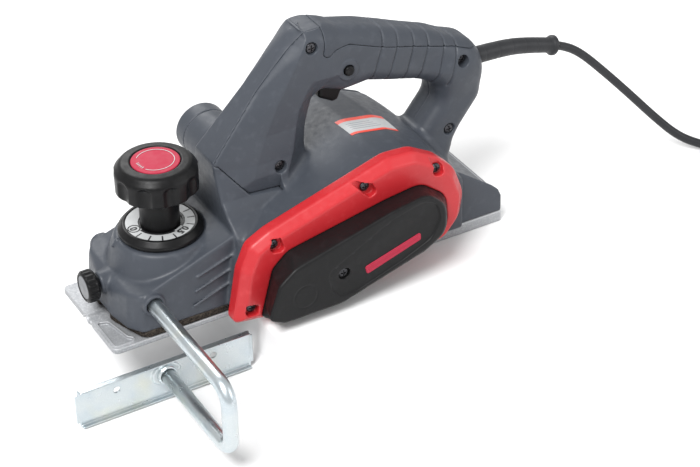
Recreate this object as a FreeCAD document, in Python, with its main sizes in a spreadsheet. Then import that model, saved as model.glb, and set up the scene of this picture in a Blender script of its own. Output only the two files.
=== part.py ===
import FreeCAD, Part
import math
import os
import re

from FreeCAD import Placement, Rotation, Vector

# Electric hand planer, millimetres.  Origin: on the sole plane, straight under the cutter drum's
# axis and midway across the sole.  -X is the front (infeed) end, +X the rear, -Y the belt side,
# +Z up.  Every sub-part is one object of the document; its label is the node's name.

SIZES = {
    # sole
    "sole_width": 82, "front_end": -127, "rear_end": 167.8, "rear_thick": 8.8, "shoe_thick": 4,
    "shoe_back": -19, "groove_half": 4.5, "groove_deep": 3.2,
    # cutter drum
    "drum_radius": 28, "drum_core": 26.4, "drum_gap": 29.6, "drum_half": 40.8,
    "drum_shaft_radius": 7, "blade_thick": 1.1,
    # motor
    "motor_x": 78.5, "motor_z": 46, "motor_bore": 32, "stator_in": 18.3,
    "core_radius": 17.8, "motor_shaft_radius": 5, "fan_radius": 29.5,
    # drive
    "drum_pulley_radius": 13.5, "motor_pulley_radius": 10.5, "belt_low": -71.5,
    "belt_high": -60.5, "bearing_radius": 13,
    # housing widths (half widths from the mid-plane)
    "nose_half": 41, "body_half": 46, "wall": 3, "trim_face": -60, "cover_face": -78,
    "side_cover": 52,
    # depth adjuster
    "knob_x": -70.5, "dome_top": 54, "dial_radius": 28, "dial_top": 61, "scale_out": 22.7,
    "scale_in": 14.5, "stem_radius": 13, "head_radius": 27.5, "head_low": 86, "head_high": 107,
    "screw_radius": 5,
    # edge fence
    "rod_x": -96.9, "rod_z": 28.7, "rod_radius": 5, "rod_bend_y": -143.2, "rod_bend_radius": 12,
    "rod_inner_end": 30, "fence_z": -19.1, "fence_face": -48.7, "fence_thick": 2,
    "fence_front": -158.5, "fence_back": -35.3, "fence_low": -38.6, "fence_high": -9.9,
    # handle
    "handle_half": 17, "shell_core_half": 13.5,
    # chip outlet
    "outlet_x": -10.5, "outlet_z": 81.8, "outlet_radius": 18, "outlet_bore": 15.5,
    "outlet_end": 60,
    # trigger and lock button
    "trigger_x": 64, "trigger_z": 131, "trigger_half": 7, "button_x": 61.7, "button_z": 141,
    "button_radius": 3.4,
    # mains cord
    "cord_radius": 3.1, "boot_radius": 6.2, "coil_x": 399.7, "coil_y": -45, "coil_in": 24.3,
    "coil_out": 44.2, "coil_high": 25.4, "plug_x": 440.1, "plug_y": -5, "plug_z": 10,
}

# Outlines are lists of (along, up, corner radius) in the sub-part's own plane.
BODY_OUTLINE = [(-46, 10, 3), (-46, 52, 6), (-34, 62, 8), (-8, 71, 20), (66, 94.5, 14),
                (87, 92.5, 14), (110, 82, 18), (122, 66, 10), (133.5, 48, 6), (133.5, 9, 2)]
NOSE_OUTLINE = [(-115, -12, 8), (-115, 12, 8), (-105, 41, 8), (-40, 41, 1), (-40, -41, 1),
                (-105, -41, 8)]
NOSE_SIDE = [(-117, 9, 0), (-117, 25, 6), (-107, 38, 8), (-98, 41.6, 8), (-38, 57.5, 0),
             (-38, 9, 0)]
TAIL_OUTLINE = [(120, 8.8, 0), (120, 52, 0), (134, 50.4, 3), (149, 41, 6), (161.8, 31.5, 3),
                (167.6, 21.2, 2), (167.6, 8.8, 0)]
TAIL_ROOM = [(134, 8, 0), (134, 46, 1), (148, 37, 5), (160, 27.5, 2), (163, 20, 2), (163, 8, 0)]
TRIM_OUTLINE = [(-49, 4, 4), (-41.5, 42, 10), (-34, 58.5, 9), (-20, 65.5, 16), (68, 91.8, 12),
                (86, 90, 12), (108, 80.5, 16), (120, 67, 14), (130.5, 48, 10), (127, 22, 12),
                (116, 10, 14), (20, 0.8, 20), (-28, 0.8, 12)]
COVER_BASE = [(-31, 4, 4), (-21, 40, 8), (-10, 50, 14), (62, 63.8, 22), (90, 67.5, 16),
              (110, 52, 16), (112, 26, 14), (90, 14, 30), (22, 2.6, 20), (-16, 2.6, 10)]
COVER_FACE = [(-35, 14, 5), (-26, 38, 8), (-14, 47, 14), (58, 66.5, 22), (86, 71, 14),
              (99.5, 57, 14), (99.5, 37, 12), (84, 27.5, 22), (20, 8.5, 20), (-22, 8.5, 9)]
FRONT_PILLAR = [(-36.5, 99, 3), (28, 172.5, 14), (43, 177, 10), (56, 170, 8), (60, 128, 6),
                (42, 128, 5), (33, 104, 30), (33, 82, 4), (7, 60, 1), (-16, 60, 1)]
GRIP = [(36, 130, 2), (38, 170, 4), (56, 170, 8), (79, 164.2, 60), (132, 144.3, 60),
        (158, 130, 8), (168, 116, 10), (150, 98, 6), (134, 108, 6), (120, 111.5, 12),
        (79, 123, 10), (72, 124.5, 4), (58, 124.5, 3)]
REAR_PILLAR = [(128, 120, 4), (158, 130, 10), (169.5, 110, 12), (169, 92, 10), (145, 60, 12),
               (139.5, 46, 3), (128, 46, 1), (112, 62, 1), (136.5, 95, 8), (134.5, 104, 5)]
SOFT_GRIP = [(50, 157, 3), (52, 178, 2), (66, 178, 2), (164, 138, 2), (154, 128.8, 3),
             (116, 141.2, 60), (88, 149.6, 60)]
FRONT_ROOM = [(-27, 97, 3), (31, 163, 6), (47, 163, 4), (50, 132, 3), (38, 132, 3), (28, 104, 20),
              (28, 86, 3), (5, 66, 3), (-14, 66, 3)]
GRIP_ROOM = [(47, 130, 2), (47, 151, 3), (80, 145, 20), (128, 133, 20), (150, 123, 4),
             (156, 112, 4), (148, 104, 4), (136, 113, 5), (120, 117, 10), (80, 129, 10)]
REAR_ROOM = [(135, 124, 2), (150, 124, 3), (162, 108, 6), (162, 94, 8), (140, 64, 4),
             (124, 66, 2), (143, 94, 8), (141, 106, 4)]
LABEL = [(38.8, 24.4, 1), (80, 37.2, 1), (79.6, 42.9, 1), (37.3, 30.6, 1)]
TRIGGER = [(44, 124, 2), (46, 109, 3), (53, 107.5, 4), (60, 115, 10), (66, 122, 3), (68, 133, 3),
           (46, 133, 3)]
BOOT_ROUTE = [(160, 0, 111), (188, 0, 110.6), (212, 0, 106.9), (236, 0, 99.3)]

# The cord's centre line from the boot's end to its first coiled turn, chosen by hand.
CORD_ROUTE = [(236, 0, 99.3), (246, -0.3, 95.7), (258.5, -2.2, 87), (274, -7, 71),
              (293, -13.5, 50), (311, -21.5, 29), (327, -30.5, 12), (342, -40, 4.4),
              (356, -52, 3.1), (366, -67.2, 3.1)]
CORD_TAIL = [(440.1, -45, 21.7), (440.1, -5, 10)]

HANDLE_SCREWS = [(35.8, 163.7), (8.6, 86), (148.7, 122), (139.5, 71)]
TRIM_SCREWS = [(-36, 13), (-18, 56), (50, 77), (104, 73)]
AXES = {"X": Rotation(Vector(0, 1, 0), 90), "Y": Rotation(Vector(1, 0, 0), -90), "Z": Rotation()}

doc = FreeCAD.newDocument("electric_hand_planer")
sheet = doc.addObject("Spreadsheet::Sheet", "Sizes")
for row, (alias, value) in enumerate(SIZES.items(), start=1):
    sheet.set("A%d" % row, alias)
    sheet.set("B%d" % row, str(value))
    sheet.setAlias("B%d" % row, alias)
doc.recompute()

nodes = []


# ---- helpers: expressions -------------------------------------------------------------------

def formula(text):
    """An expression in the sheet's words, such as 'wall + 2', as FreeCAD wants it."""
    return re.sub(r"[a-z_]+", lambda word: "Sizes." + word.group(), str(text))


def size(alias):
    return float(getattr(sheet, alias))


def bind(thing, **expressions):
    """Bind properties such as Length or Placement__Base__x to formulas."""
    for name, text in expressions.items():
        thing.setExpression(name.replace("__", "."), formula(text))


def place(thing, x=0, y=0, z=0):
    bind(thing, Placement__Base__x=x, Placement__Base__y=y, Placement__Base__z=z)


def publish(name, thing):
    """Give a finished sub-part its node name."""
    thing.Label = name
    nodes.append(thing)
    return thing


# ---- helpers: primitives and booleans --------------------------------------------------------

def box(name, x, y, z):
    """A box between pairs of formulas."""
    block = doc.addObject("Part::Box", name)
    for side, (low, high) in (("Length", x), ("Width", y), ("Height", z)):
        bind(block, **{side: "(%s) - (%s)" % (high, low)})
    place(block, x[0], y[0], z[0])
    return block


def start_point(axis, centre, low):
    """Where a round solid along an axis begins: centre gives the two other coordinates."""
    across, up = centre
    return {"X": (low, across, up), "Y": (across, low, up), "Z": (across, up, low)}[axis]


def rod(name, axis, centre, span, radius):
    """A cylinder along an axis from span[0] to span[1]."""
    bar = doc.addObject("Part::Cylinder", name)
    bar.Placement = Placement(Vector(), AXES[axis])
    bind(bar, Radius=radius, Height="(%s) - (%s)" % (span[1], span[0]))
    place(bar, *start_point(axis, centre, span[0]))
    return bar


def taper(name, axis, centre, span, low_radius, high_radius):
    """A cone frustum along an axis."""
    cone = doc.addObject("Part::Cone", name)
    cone.Placement = Placement(Vector(), AXES[axis])
    bind(cone, Radius1=low_radius, Radius2=high_radius, Height="(%s) - (%s)" % (span[1], span[0]))
    place(cone, *start_point(axis, centre, span[0]))
    return cone


def fuse(name, *shapes):
    union = doc.addObject("Part::MultiFuse", name)
    union.Shapes = list(shapes)
    return union


def group(name, *shapes):
    """Separate solids kept as one object."""
    bundle = doc.addObject("Part::Compound", name)
    bundle.Links = list(shapes)
    return bundle


def cut(name, base, *tools):
    removal = doc.addObject("Part::Cut", name)
    removal.Base = base
    removal.Tool = tools[0] if len(tools) == 1 else fuse(name + "_tools", *tools)
    return removal


def common(name, first, second):
    overlap = doc.addObject("Part::Common", name)
    overlap.Base = first
    overlap.Tool = second
    return overlap


def ring(name, axis, centre, span, outer, inner):
    low, high = span
    past = ("(%s) - 1" % low, "(%s) + 1" % high)
    return cut(name, rod(name + "_outer", axis, centre, span, outer),
               rod(name + "_inner", axis, centre, past, inner))


# ---- helpers: outlines -----------------------------------------------------------------------

def rounded(outline):
    """Lines and corner arcs round a closed outline of (u, v, radius) points, as flat geometry."""
    points = [Vector(u, v, 0) for u, v, _ in outline]
    corners = []
    for index, (point, (_, _, radius)) in enumerate(zip(points, outline)):
        back = (points[index - 1] - point).normalize()
        ahead = (points[(index + 1) % len(points)] - point).normalize()
        half = back.getAngle(ahead) / 2
        reach = radius / math.tan(half)
        enter, leave = point + back * reach, point + ahead * reach
        middle = (back + ahead).normalize()
        centre = point + middle * (radius / math.sin(half))
        corners.append((enter, centre - middle * radius, leave, centre, radius))
    pieces = []
    for index, (enter, _, leave, centre, radius) in enumerate(corners):
        if radius:
            pieces.append(corner_arc(enter, leave, centre, radius))
        nearest = corners[(index + 1) % len(corners)][0]
        if (nearest - leave).Length > 1e-4:
            pieces.append(Part.LineSegment(leave, nearest))
    return pieces


def corner_arc(enter, leave, centre, radius):
    """The short arc between two points, run anticlockwise."""
    first = math.atan2(enter.y - centre.y, enter.x - centre.x)
    last = math.atan2(leave.y - centre.y, leave.x - centre.x)
    if (last - first) % (2 * math.pi) > math.pi:
        first, last = last, first
    return Part.ArcOfCircle(Part.Circle(centre, Vector(0, 0, 1), radius), first, last)


def sketch_on(body, name, role, offset, geometry):
    """A sketch on one of a body's own origin planes."""
    sketch = body.newObject("Sketcher::SketchObject", name)
    plane = next(f for f in body.Origin.OriginFeatures if f.Role == role)
    sketch.AttachmentSupport = [(plane, "")]
    sketch.MapMode = "FlatFace"
    sketch.setExpression("AttachmentOffset.Base.z", formula(offset))
    for piece in geometry:
        sketch.addGeometry(piece, False)
    return sketch


def pad(body, name, sketch, length):
    feature = body.newObject("PartDesign::Pad", name)
    feature.Profile = sketch
    feature.setExpression("Length", formula(length))
    body.Tip = feature
    return feature


def pocket(body, name, sketch, length, turned=False):
    """Cut a sketch into a body; the volume must shrink."""
    doc.recompute()
    before = body.Shape.Volume
    feature = body.newObject("PartDesign::Pocket", name)
    feature.Profile = sketch
    feature.setExpression("Length", formula(length))
    feature.Reversed = turned
    body.Tip = feature
    doc.recompute()
    if body.Shape.Volume >= before:
        raise RuntimeError(name + " cuts nothing")
    return feature


def polar(body, name, feature, axis_role, count):
    """Repeat a feature round one of the body's origin axes."""
    pattern = body.newObject("PartDesign::PolarPattern", name)
    pattern.Originals = [feature]
    axis = next(f for f in body.Origin.OriginFeatures if f.Role == axis_role)
    pattern.Axis = (axis, [""])
    pattern.Angle = 360
    pattern.Occurrences = count
    body.Tip = pattern
    return pattern


def circle(u, v, radius):
    return Part.Circle(Vector(u, v, 0), Vector(0, 0, 1), radius)


def prism(name, role, outline, span):
    """A body padded from an outline on an origin plane, between two formulas along its normal."""
    low, high = span
    length = "(%s) - (%s)" % (high, low)
    body = doc.addObject("PartDesign::Body", name)
    offset = "-(%s)" % high if role == "XZ_Plane" else low
    pad(body, name + "_pad", sketch_on(body, name + "_sketch", role, offset, rounded(outline)),
        length)
    return body


def feature(name, shape):
    """A document object that holds a ready shape."""
    thing = doc.addObject("Part::Feature", name)
    thing.Shape = shape
    return thing


def side_wire(outline, y):
    """A closed wire of an outline in the XZ plane at one y."""
    wire = Part.Wire(Part.__sortEdges__([piece.toShape() for piece in rounded(outline)]))
    wire.Placement = Placement(Vector(0, y, 0), Rotation(Vector(1, 0, 0), 90))
    return wire


def lofted(name, first, first_y, last, last_y):
    """A solid between two outlines that have the same number of corners."""
    sides = [side_wire(first, first_y), side_wire(last, last_y)]
    return feature(name, Part.makeLoft(sides, True, True))


# ---- helpers: tubes and springs --------------------------------------------------------------

def smooth_path(route, name):
    """Straight runs joined by tangent arcs as large as the runs allow; prints the radii."""
    points = [Vector(*point) for point in route]
    edges, radii, last = [], [], points[0]
    for before, point, after in zip(points, points[1:], points[2:]):
        back, ahead = before - point, after - point
        shorter = min(back.Length, ahead.Length)
        half_turn = (math.pi - back.getAngle(ahead)) / 2
        reach = 0.45 * shorter
        radius = reach / math.tan(half_turn)
        back.normalize()
        ahead.normalize()
        enter, leave = point + back * reach, point + ahead * reach
        inward = (back + ahead).normalize()
        middle = point + inward * (radius / math.cos(half_turn) - radius)
        edges.append(Part.LineSegment(last, enter).toShape())
        edges.append(Part.Arc(enter, middle, leave).toShape())
        radii.append(round(radius, 1))
        last = leave
    edges.append(Part.LineSegment(last, points[-1]).toShape())
    print(name, "bend radii", radii)
    return Part.Wire(edges)


def tube(name, route, radius):
    """A round solid along a route; its volume must match section times length."""
    path = smooth_path(route, name)
    start, heading = path.Edges[0].Vertexes[0].Point, path.Edges[0].tangentAt(0)
    section = Part.Wire(Part.makeCircle(radius, start, heading))
    solid = path.makePipeShell([section], True, True)
    expected = math.pi * radius ** 2 * path.Length
    print(name, "length", round(path.Length, 1), "volume ratio", round(solid.Volume / expected, 4))
    if abs(solid.Volume / expected - 1) > 0.02:
        raise RuntimeError(name + " has the wrong volume")
    return solid


def spring(name, coil_radius, wire_radius, height, turns):
    """A helical compression spring standing on the origin along +Z."""
    helix = Part.makeHelix(height / turns, height, coil_radius)
    section = Part.Wire(Part.makeCircle(wire_radius, Vector(coil_radius, 0, 0), Vector(0, 1, 0)))
    solid = Part.Wire(helix).makePipeShell([section], True, True)
    return feature(name, solid)


def screws(name, places, low, high, head):
    """Equal pan-head screws along +Y with a cross recess, heads at the low end."""
    pieces = []
    for index, (x, z) in enumerate(places):
        tag = "%s_%d" % (name, index)
        shank = rod(tag + "_shank", "Y", (x, z), ("(%s) + 2" % low, high), 1.6)
        cap = rod(tag + "_cap", "Y", (x, z), (low, "(%s) + 2.4" % low), head)
        slots = [box(tag + "_slot_a", ("%s - 1.8" % x, "%s + 1.8" % x),
                     ("(%s) - 1" % low, "(%s) + 1.2" % low), ("%s - 0.4" % z, "%s + 0.4" % z)),
                 box(tag + "_slot_b", ("%s - 0.4" % x, "%s + 0.4" % x),
                     ("(%s) - 1" % low, "(%s) + 1.2" % low), ("%s - 1.8" % z, "%s + 1.8" % z))]
        pieces.append(cut(tag, fuse(tag + "_blank", shank, cap), *slots))
    return group(name, *pieces)


def both_sides(name, axis, centre, near, far, radius):
    """Two equal cylinders along Y, mirrored about the mid-plane."""
    left = rod(name + "_left", axis, centre, ("-(%s)" % far, "-(%s)" % near), radius)
    return [left, rod(name + "_right", axis, centre, (near, far), radius)]


def scaled(outline, factor, centre):
    """An outline drawn in towards a centre."""
    along, up = centre
    return [(along + (u - along) * factor, up + (v - up) * factor, radius * factor)
            for u, v, radius in outline]


# ---- sole castings ---------------------------------------------------------------------------

def make_rear_sole():
    plate = box("sole_plate", ("9.6", "rear_end"), ("-sole_width / 2", "sole_width / 2"),
                ("0", "rear_thick"))
    bridge = box("sole_bridge", ("20", "44"), ("-body_half", "body_half"), ("2", "rear_thick"))
    cheeks = [box("left_cheek", ("-34", "44"), ("-body_half", "-41.4"), ("2", "50")),
              box("right_cheek", ("-34", "44"), ("41.4", "body_half"), ("2", "50"))]
    axle = ("0", "drum_radius")
    bosses = both_sides("drum_boss", "Y", axle, "41.4", "50", "17")
    seats = both_sides("drum_seat", "Y", axle, "41", "51", "bearing_radius")
    swing = rod("drum_swing", "Y", axle, ("-41.4", "41.4"), "drum_gap")
    publish("rear_sole", cut("RearSole", fuse("RearSoleBlank", plate, bridge, *cheeks, *bosses),
                             swing, *seats))


def make_front_shoe():
    half = size("sole_width") / 2
    front, back = size("front_end"), size("shoe_back")
    body = doc.addObject("PartDesign::Body", "FrontShoe")
    plan = [(front, -half, 3), (back, -half, 1), (back, half, 1), (front, half, 3)]
    pad(body, "ShoePlate", sketch_on(body, "ShoePlan", "XY_Plane", "0", rounded(plan)),
        "shoe_thick")
    ridge = [(front, -7, 1), (front + 100, -7, 1), (front + 100, 7, 1), (front, 7, 1)]
    pad(body, "ShoeRidge", sketch_on(body, "RidgePlan", "XY_Plane", "0", rounded(ridge)),
        "shoe_thick + 2")
    boss = [circle(size("knob_x"), 0, 9)]
    pad(body, "NutBoss", sketch_on(body, "NutBossPlan", "XY_Plane", "1", boss), "15")
    groove_half, deep = size("groove_half"), size("groove_deep")
    groove = [(-groove_half, -0.01, 0), (0, deep, 0), (groove_half, -0.01, 0)]
    pocket(body, "EdgeGroove", sketch_on(body, "GrooveEnd", "YZ_Plane", "front_end - 1",
                                         rounded(groove)), "110", turned=True)
    seat = [circle(size("knob_x"), 0, 7.5)]
    pocket(body, "NutSeat", sketch_on(body, "NutSeatPlan", "XY_Plane", "5", seat), "20",
           turned=True)
    publish("front_shoe", body)


def make_dust_seal():
    outer = prism("SealOuter", "XY_Plane", NOSE_OUTLINE, ("4.3", "9.7"))
    inner = prism("SealInner", "XY_Plane", scaled(NOSE_OUTLINE, 0.88, (-76, 0)), ("3", "11"))
    ridge = box("SealRidge", ("-130", "-30"), ("-7.3", "7.3"), ("3", "6.3"))
    publish("dust_seal", cut("DustSeal", outer, inner, ridge))


# ---- main housing ----------------------------------------------------------------------------

def housing_outside():
    """The whole outer form of the grey housing, solid."""
    trunk = prism("Trunk", "XZ_Plane", BODY_OUTLINE, ("-body_half", "body_half"))
    nose_plan = prism("NosePlan", "XY_Plane", NOSE_OUTLINE, ("10", "60"))
    nose_side = prism("NoseSide", "XZ_Plane", NOSE_SIDE, ("-nose_half - 1", "nose_half + 1"))
    nose = common("Nose", nose_plan, nose_side)
    dome = taper("Dome", "Z", ("knob_x", "0"), ("30", "dome_top"), "39", "30")
    tail = prism("Tail", "XZ_Plane", TAIL_OUTLINE, ("-nose_half", "nose_half"))
    duct = rod("Duct", "Y", ("outlet_x", "outlet_z"), ("17.5", "48"), "outlet_radius")
    guides = both_sides("rod_guide", "Y", ("rod_x", "rod_z"), "38", "43", "9")
    clamp_boss = rod("ClampBoss", "X", ("0", "rod_z"), ("-117.5", "-110"), "7")
    bearing_boss = rod("MotorBoss", "Y", ("motor_x", "motor_z"), ("-50", "-45"), "17")
    return fuse("HousingOutside", trunk, nose, dome, tail, duct, *guides, clamp_boss,
                bearing_boss)


def make_main_housing(outside):
    axle, motor = ("0", "drum_radius"), ("motor_x", "motor_z")
    hollows = [
        cut("NoseHollow", box("NoseRoom", ("-84", "-44"), ("-37", "37"), ("8", "36")),
            rod("ScrewPost", "Z", ("knob_x", "0"), ("18", "40"), "11.5")),
        rod("RodBore", "Y", ("rod_x", "rod_z"), ("-50", "50"), "rod_radius + 0.05"),
        rod("ClampBore", "X", ("0", "rod_z"), ("-119", "rod_x"), "3.05"),
        rod("ScrewBore", "Z", ("knob_x", "0"), ("8", "60"), "screw_radius + 0.05"),
        rod("DrumChamber", "Y", axle, ("-41.4", "41.4"), "31"),
        box("LeftCheekRoom", ("-34.2", "44.2"), ("-47", "-41.2"), ("0", "50.2")),
        box("RightCheekRoom", ("-34.2", "44.2"), ("41.2", "47"), ("0", "50.2")),
        rod("MotorRoom", "Y", motor, ("-42", "47"), "motor_bore"),
        rod("MotorSeat", "Y", motor, ("-51", "-41"), "bearing_radius"),
        box("ChipThroat", ("-26", "5"), ("-30", "38"), ("45", "60")),
        box("ChipRise", ("-22", "1"), ("20", "44"), ("50", "outlet_z")),
        rod("DuctBore", "Y", ("outlet_x", "outlet_z"), ("20", "49"), "outlet_bore"),
        rod("DialRoom", "Z", ("knob_x", "0"), ("dome_top", "dial_top + 5"), "dial_radius + 0.8"),
    ]
    hollows += both_sides("boss_room", "Y", axle, "41", "51", "17.2")
    walls = [rod("DrumWall", "Y", axle, ("-60", "60"), "34"),
             box("ThroatWall", ("-40", "10"), ("-60", "60"), ("0", "90")),
             rod("MotorWall", "Y", motor, ("-60", "28"), "motor_bore + wall")]
    trunk_room = prism("TrunkRoom", "XZ_Plane", scaled(BODY_OUTLINE, 0.92, (50, 44)),
                       ("-body_half + wall", "body_half + 1"))
    hollows.append(cut("TrunkHollow", trunk_room, *walls))
    hollows.append(prism("TailRoom", "XZ_Plane", TAIL_ROOM, ("-37", "37")))
    publish("main_housing", cut("MainHousing", outside, *hollows))


def make_side_cover():
    """The right-hand cover over the drum's bearing and the motor's brush end."""
    motor = ("motor_x", "motor_z")
    skin = prism("CoverSkin", "XZ_Plane", BODY_OUTLINE, ("body_half", "side_cover"))
    socket = rod("BearingSocket", "Y", motor, ("41", "47"), "16")
    tools = [
        rod("DuctRoom", "Y", ("outlet_x", "outlet_z"), ("40", "60"), "outlet_radius + 0.3"),
        rod("DrumBossRoom", "Y", ("0", "drum_radius"), ("45", "50.3"), "17.3"),
        rod("SocketBore", "Y", motor, ("40", "50"), "bearing_radius"),
    ]
    for column in range(-2, 3):
        x = ("motor_x + %s" % (7 * column - 1.6), "motor_x + %s" % (7 * column + 1.6))
        for row, (low, high) in enumerate((("17.5", "26"), ("-26", "-17.5"))):
            tools.append(box("vent_%d_%d" % (column + 2, row), x, ("45", "53"),
                             ("motor_z + %s" % low, "motor_z + %s" % high)))
    publish("right_side_cover", cut("SideCover", fuse("SideCoverBlank", skin, socket), *tools))


def make_chip_outlet():
    publish("chip_outlet", ring("ChipOutlet", "Y", ("outlet_x", "outlet_z"),
                                ("48", "outlet_end"), "outlet_radius", "outlet_bore"))


# ---- handle ----------------------------------------------------------------------------------

def handle_outside(outside):
    """Front pillar, grip and rear pillar, standing on the housing."""
    width = ("-handle_half", "handle_half")
    pieces = [prism("FrontPillar", "XZ_Plane", FRONT_PILLAR, width),
              prism("Grip", "XZ_Plane", GRIP, width),
              prism("RearPillar", "XZ_Plane", REAR_PILLAR, width)]
    return cut("HandleOutside", fuse("HandleBlank", *pieces), outside)


def handle_cavity():
    """The hollow that the two shells leave, with posts for the screws and the trigger pin."""
    width = ("-shell_core_half", "shell_core_half")
    rooms = [prism("FrontRoom", "XZ_Plane", FRONT_ROOM, width),
             prism("GripRoom", "XZ_Plane", GRIP_ROOM, width),
             prism("RearRoom", "XZ_Plane", REAR_ROOM, width)]
    posts = [rod("handle_post_%d" % index, "Y", place_of, ("-16", "16"), "4.6")
             for index, place_of in enumerate(HANDLE_SCREWS)]
    pivots = both_sides("pin_post", "Y", ("trigger_x", "trigger_z"), "trigger_half + 0.4",
                        "15", "3.6")
    return cut("HandleCavity", fuse("HandleRooms", *rooms), *posts, *pivots)


def make_handle(outside):
    whole = handle_outside(outside)
    soft = prism("SoftZone", "XZ_Plane", SOFT_GRIP, ("-handle_half - 1", "handle_half + 1"))
    publish("soft_grip", common("SoftGrip", whole, soft))
    button = ("button_x", "button_z")
    tools = [soft, handle_cavity(),
             box("TriggerSlot", ("42.4", "69"), ("-trigger_half - 0.4", "trigger_half + 0.4"),
                 ("100", "134")),
             rod("BootHole", "X", ("0", "111"), ("150", "175"), "boot_radius + 0.1"),
             rod("PinHole", "Y", ("trigger_x", "trigger_z"), ("-13", "13"), "1.5"),
             rod("ButtonHole", "Y", button, ("-30", "-10"), "button_radius + 0.3")]
    for index, spot in enumerate(HANDLE_SCREWS):
        tools.append(rod("head_room_%d" % index, "Y", spot, ("-18", "-14.6"), "3.8"))
        tools.append(rod("shank_room_%d" % index, "Y", spot, ("-15", "12"), "1.6"))
    shells = cut("HandleShells", whole, *tools)
    for side, span in (("left", ("-30", "0")), ("right", ("0", "30"))):
        half = box(side + "_half", ("-60", "200"), span, ("0", "200"))
        publish("handle_%s_shell" % side, common("Handle" + side.title(), shells, half))
    publish("handle_screws", screws("HandleScrews", HANDLE_SCREWS, "-17", "12", "3.4"))


def make_trigger():
    thumb = ("-trigger_half", "trigger_half")
    blank = prism("TriggerBlank", "XZ_Plane", TRIGGER, thumb)
    publish("trigger", cut("Trigger", blank,
                           rod("TriggerBore", "Y", ("trigger_x", "trigger_z"), ("-9", "9"),
                               "1.55"),
                           rod("SpringPocket", "Z", ("51", "0"), ("121", "136"), "3.4")))
    publish("trigger_pin", rod("TriggerPin", "Y", ("trigger_x", "trigger_z"), ("-13", "13"),
                               "1.5"))
    coil = spring("TriggerSpring", 2.5, 0.45, 13.6, 6)
    place(coil, "51", "0", "121.6")
    publish("trigger_spring", coil)


def make_lock_button():
    button = ("button_x", "button_z")
    stem = rod("ButtonStem", "Y", button, ("-20", "-12.5"), "button_radius")
    flange = rod("ButtonFlange", "Y", button, ("-13.2", "-12.4"), "button_radius + 1.4")
    publish("lock_button", fuse("LockButton", stem, flange))
    coil = spring("ButtonSpring", 2.4, 0.35, 1.4, 2)
    coil.Placement = Placement(Vector(), AXES["Y"])
    place(coil, "button_x", "-11.9", "button_z")
    publish("lock_button_spring", coil)
    publish("switch_module", box("Switch", ("48", "78"), ("-10", "10"), ("136.2", "144.5")))


# ---- belt side -------------------------------------------------------------------------------

def make_trim():
    inner_rim = scaled(TRIM_OUTLINE, 0.945, (40, 46))
    shell = lofted("TrimShell", TRIM_OUTLINE, -size("body_half"),
                   scaled(TRIM_OUTLINE, 0.95, (40, 46)), size("trim_face"))
    room = prism("TrimRoom", "XZ_Plane", inner_rim, ("trim_face + 2.5", "-body_half + 1"))
    posts = [rod("trim_post_%d" % index, "Y", spot, ("-57.6", "-body_half"), "4.2")
             for index, spot in enumerate(TRIM_SCREWS)]
    hollowed = cut("TrimHollowed", shell, cut("TrimHollow", room, *posts))
    tools = [prism("CoverHole", "XZ_Plane", COVER_BASE, ("trim_face - 5", "-body_half + 1"))]
    for index, spot in enumerate(TRIM_SCREWS):
        tools.append(rod("trim_head_%d" % index, "Y", spot, ("-62", "-52"), "3.8"))
        tools.append(rod("trim_shank_%d" % index, "Y", spot, ("-53", "-45"), "1.6"))
    publish("belt_guard_trim", cut("BeltGuardTrim", hollowed, *tools))
    publish("trim_screws", screws("TrimScrews", TRIM_SCREWS, "-54.4", "-body_half", "3.4"))


def make_belt_cover():
    face = lofted("CoverBulge", COVER_BASE, size("trim_face"), COVER_FACE, size("cover_face"))
    foot = prism("CoverFoot", "XZ_Plane", COVER_BASE, ("trim_face", "-50.2"))
    room = prism("CoverRoom", "XZ_Plane", scaled(COVER_FACE, 0.93, (34, 40)),
                 ("cover_face + 2.5", "-49"))
    post = rod("CoverPost", "Y", ("22", "31"), ("cover_face + 2", "-50.2"), "4.4")
    recess = rod("CoverRecess", "Y", ("22", "31"), ("cover_face - 1", "cover_face + 3"), "4")
    hole = rod("CoverHoleBore", "Y", ("22", "31"), ("cover_face", "-45"), "1.6")
    hollowed = cut("CoverHollowed", fuse("CoverBlank", face, foot), cut("CoverHollow", room, post))
    publish("belt_cover", cut("BeltCover", hollowed, recess, hole))
    publish("cover_screw", screws("CoverScrew", [(22, 31)], "cover_face + 0.6", "-50.2", "3.6"))
    publish("label_plate", prism("LabelPlate", "XZ_Plane", LABEL,
                                 ("cover_face - 0.6", "cover_face")))


def belt_loop(name, margin, span):
    """Everything inside a belt line that runs a margin outside both pulleys."""
    ends = [(Vector(0, 0, size("drum_radius")), size("drum_pulley_radius") + margin),
            (Vector(size("motor_x"), 0, size("motor_z")), size("motor_pulley_radius") + margin)]
    between = ends[1][0] - ends[0][0]
    lean = math.atan2(between.z, between.x)
    open_angle = math.acos((ends[0][1] - ends[1][1]) / between.Length)
    corners = []
    for (centre, radius), turns in ((ends[0], (1, -1)), (ends[1], (-1, 1))):
        for turn in turns:
            angle = lean + turn * open_angle
            corners.append((centre.x + radius * math.cos(angle),
                            centre.z + radius * math.sin(angle), 0))
    return fuse(name, prism(name + "_flank", "XZ_Plane", corners, span),
                rod(name + "_drum", "Y", ("0", "drum_radius"), span,
                    "drum_pulley_radius + %s" % margin),
                rod(name + "_motor", "Y", ("motor_x", "motor_z"), span,
                    "motor_pulley_radius + %s" % margin))


def make_pulley(name, centre, radius, bore):
    low, high = "belt_low - 2", "belt_high + 2"
    body = rod(name + "_groove", "Y", centre, (low, high), radius)
    flanges = [rod(name + "_flange_a", "Y", centre, (low, "belt_low - 0.4"), radius + " + 2"),
               rod(name + "_flange_b", "Y", centre, ("belt_high + 0.4", high), radius + " + 2")]
    return cut(name, fuse(name + "_blank", body, *flanges),
               rod(name + "_bore", "Y", centre, ("-90", "-40"), bore))


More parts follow.
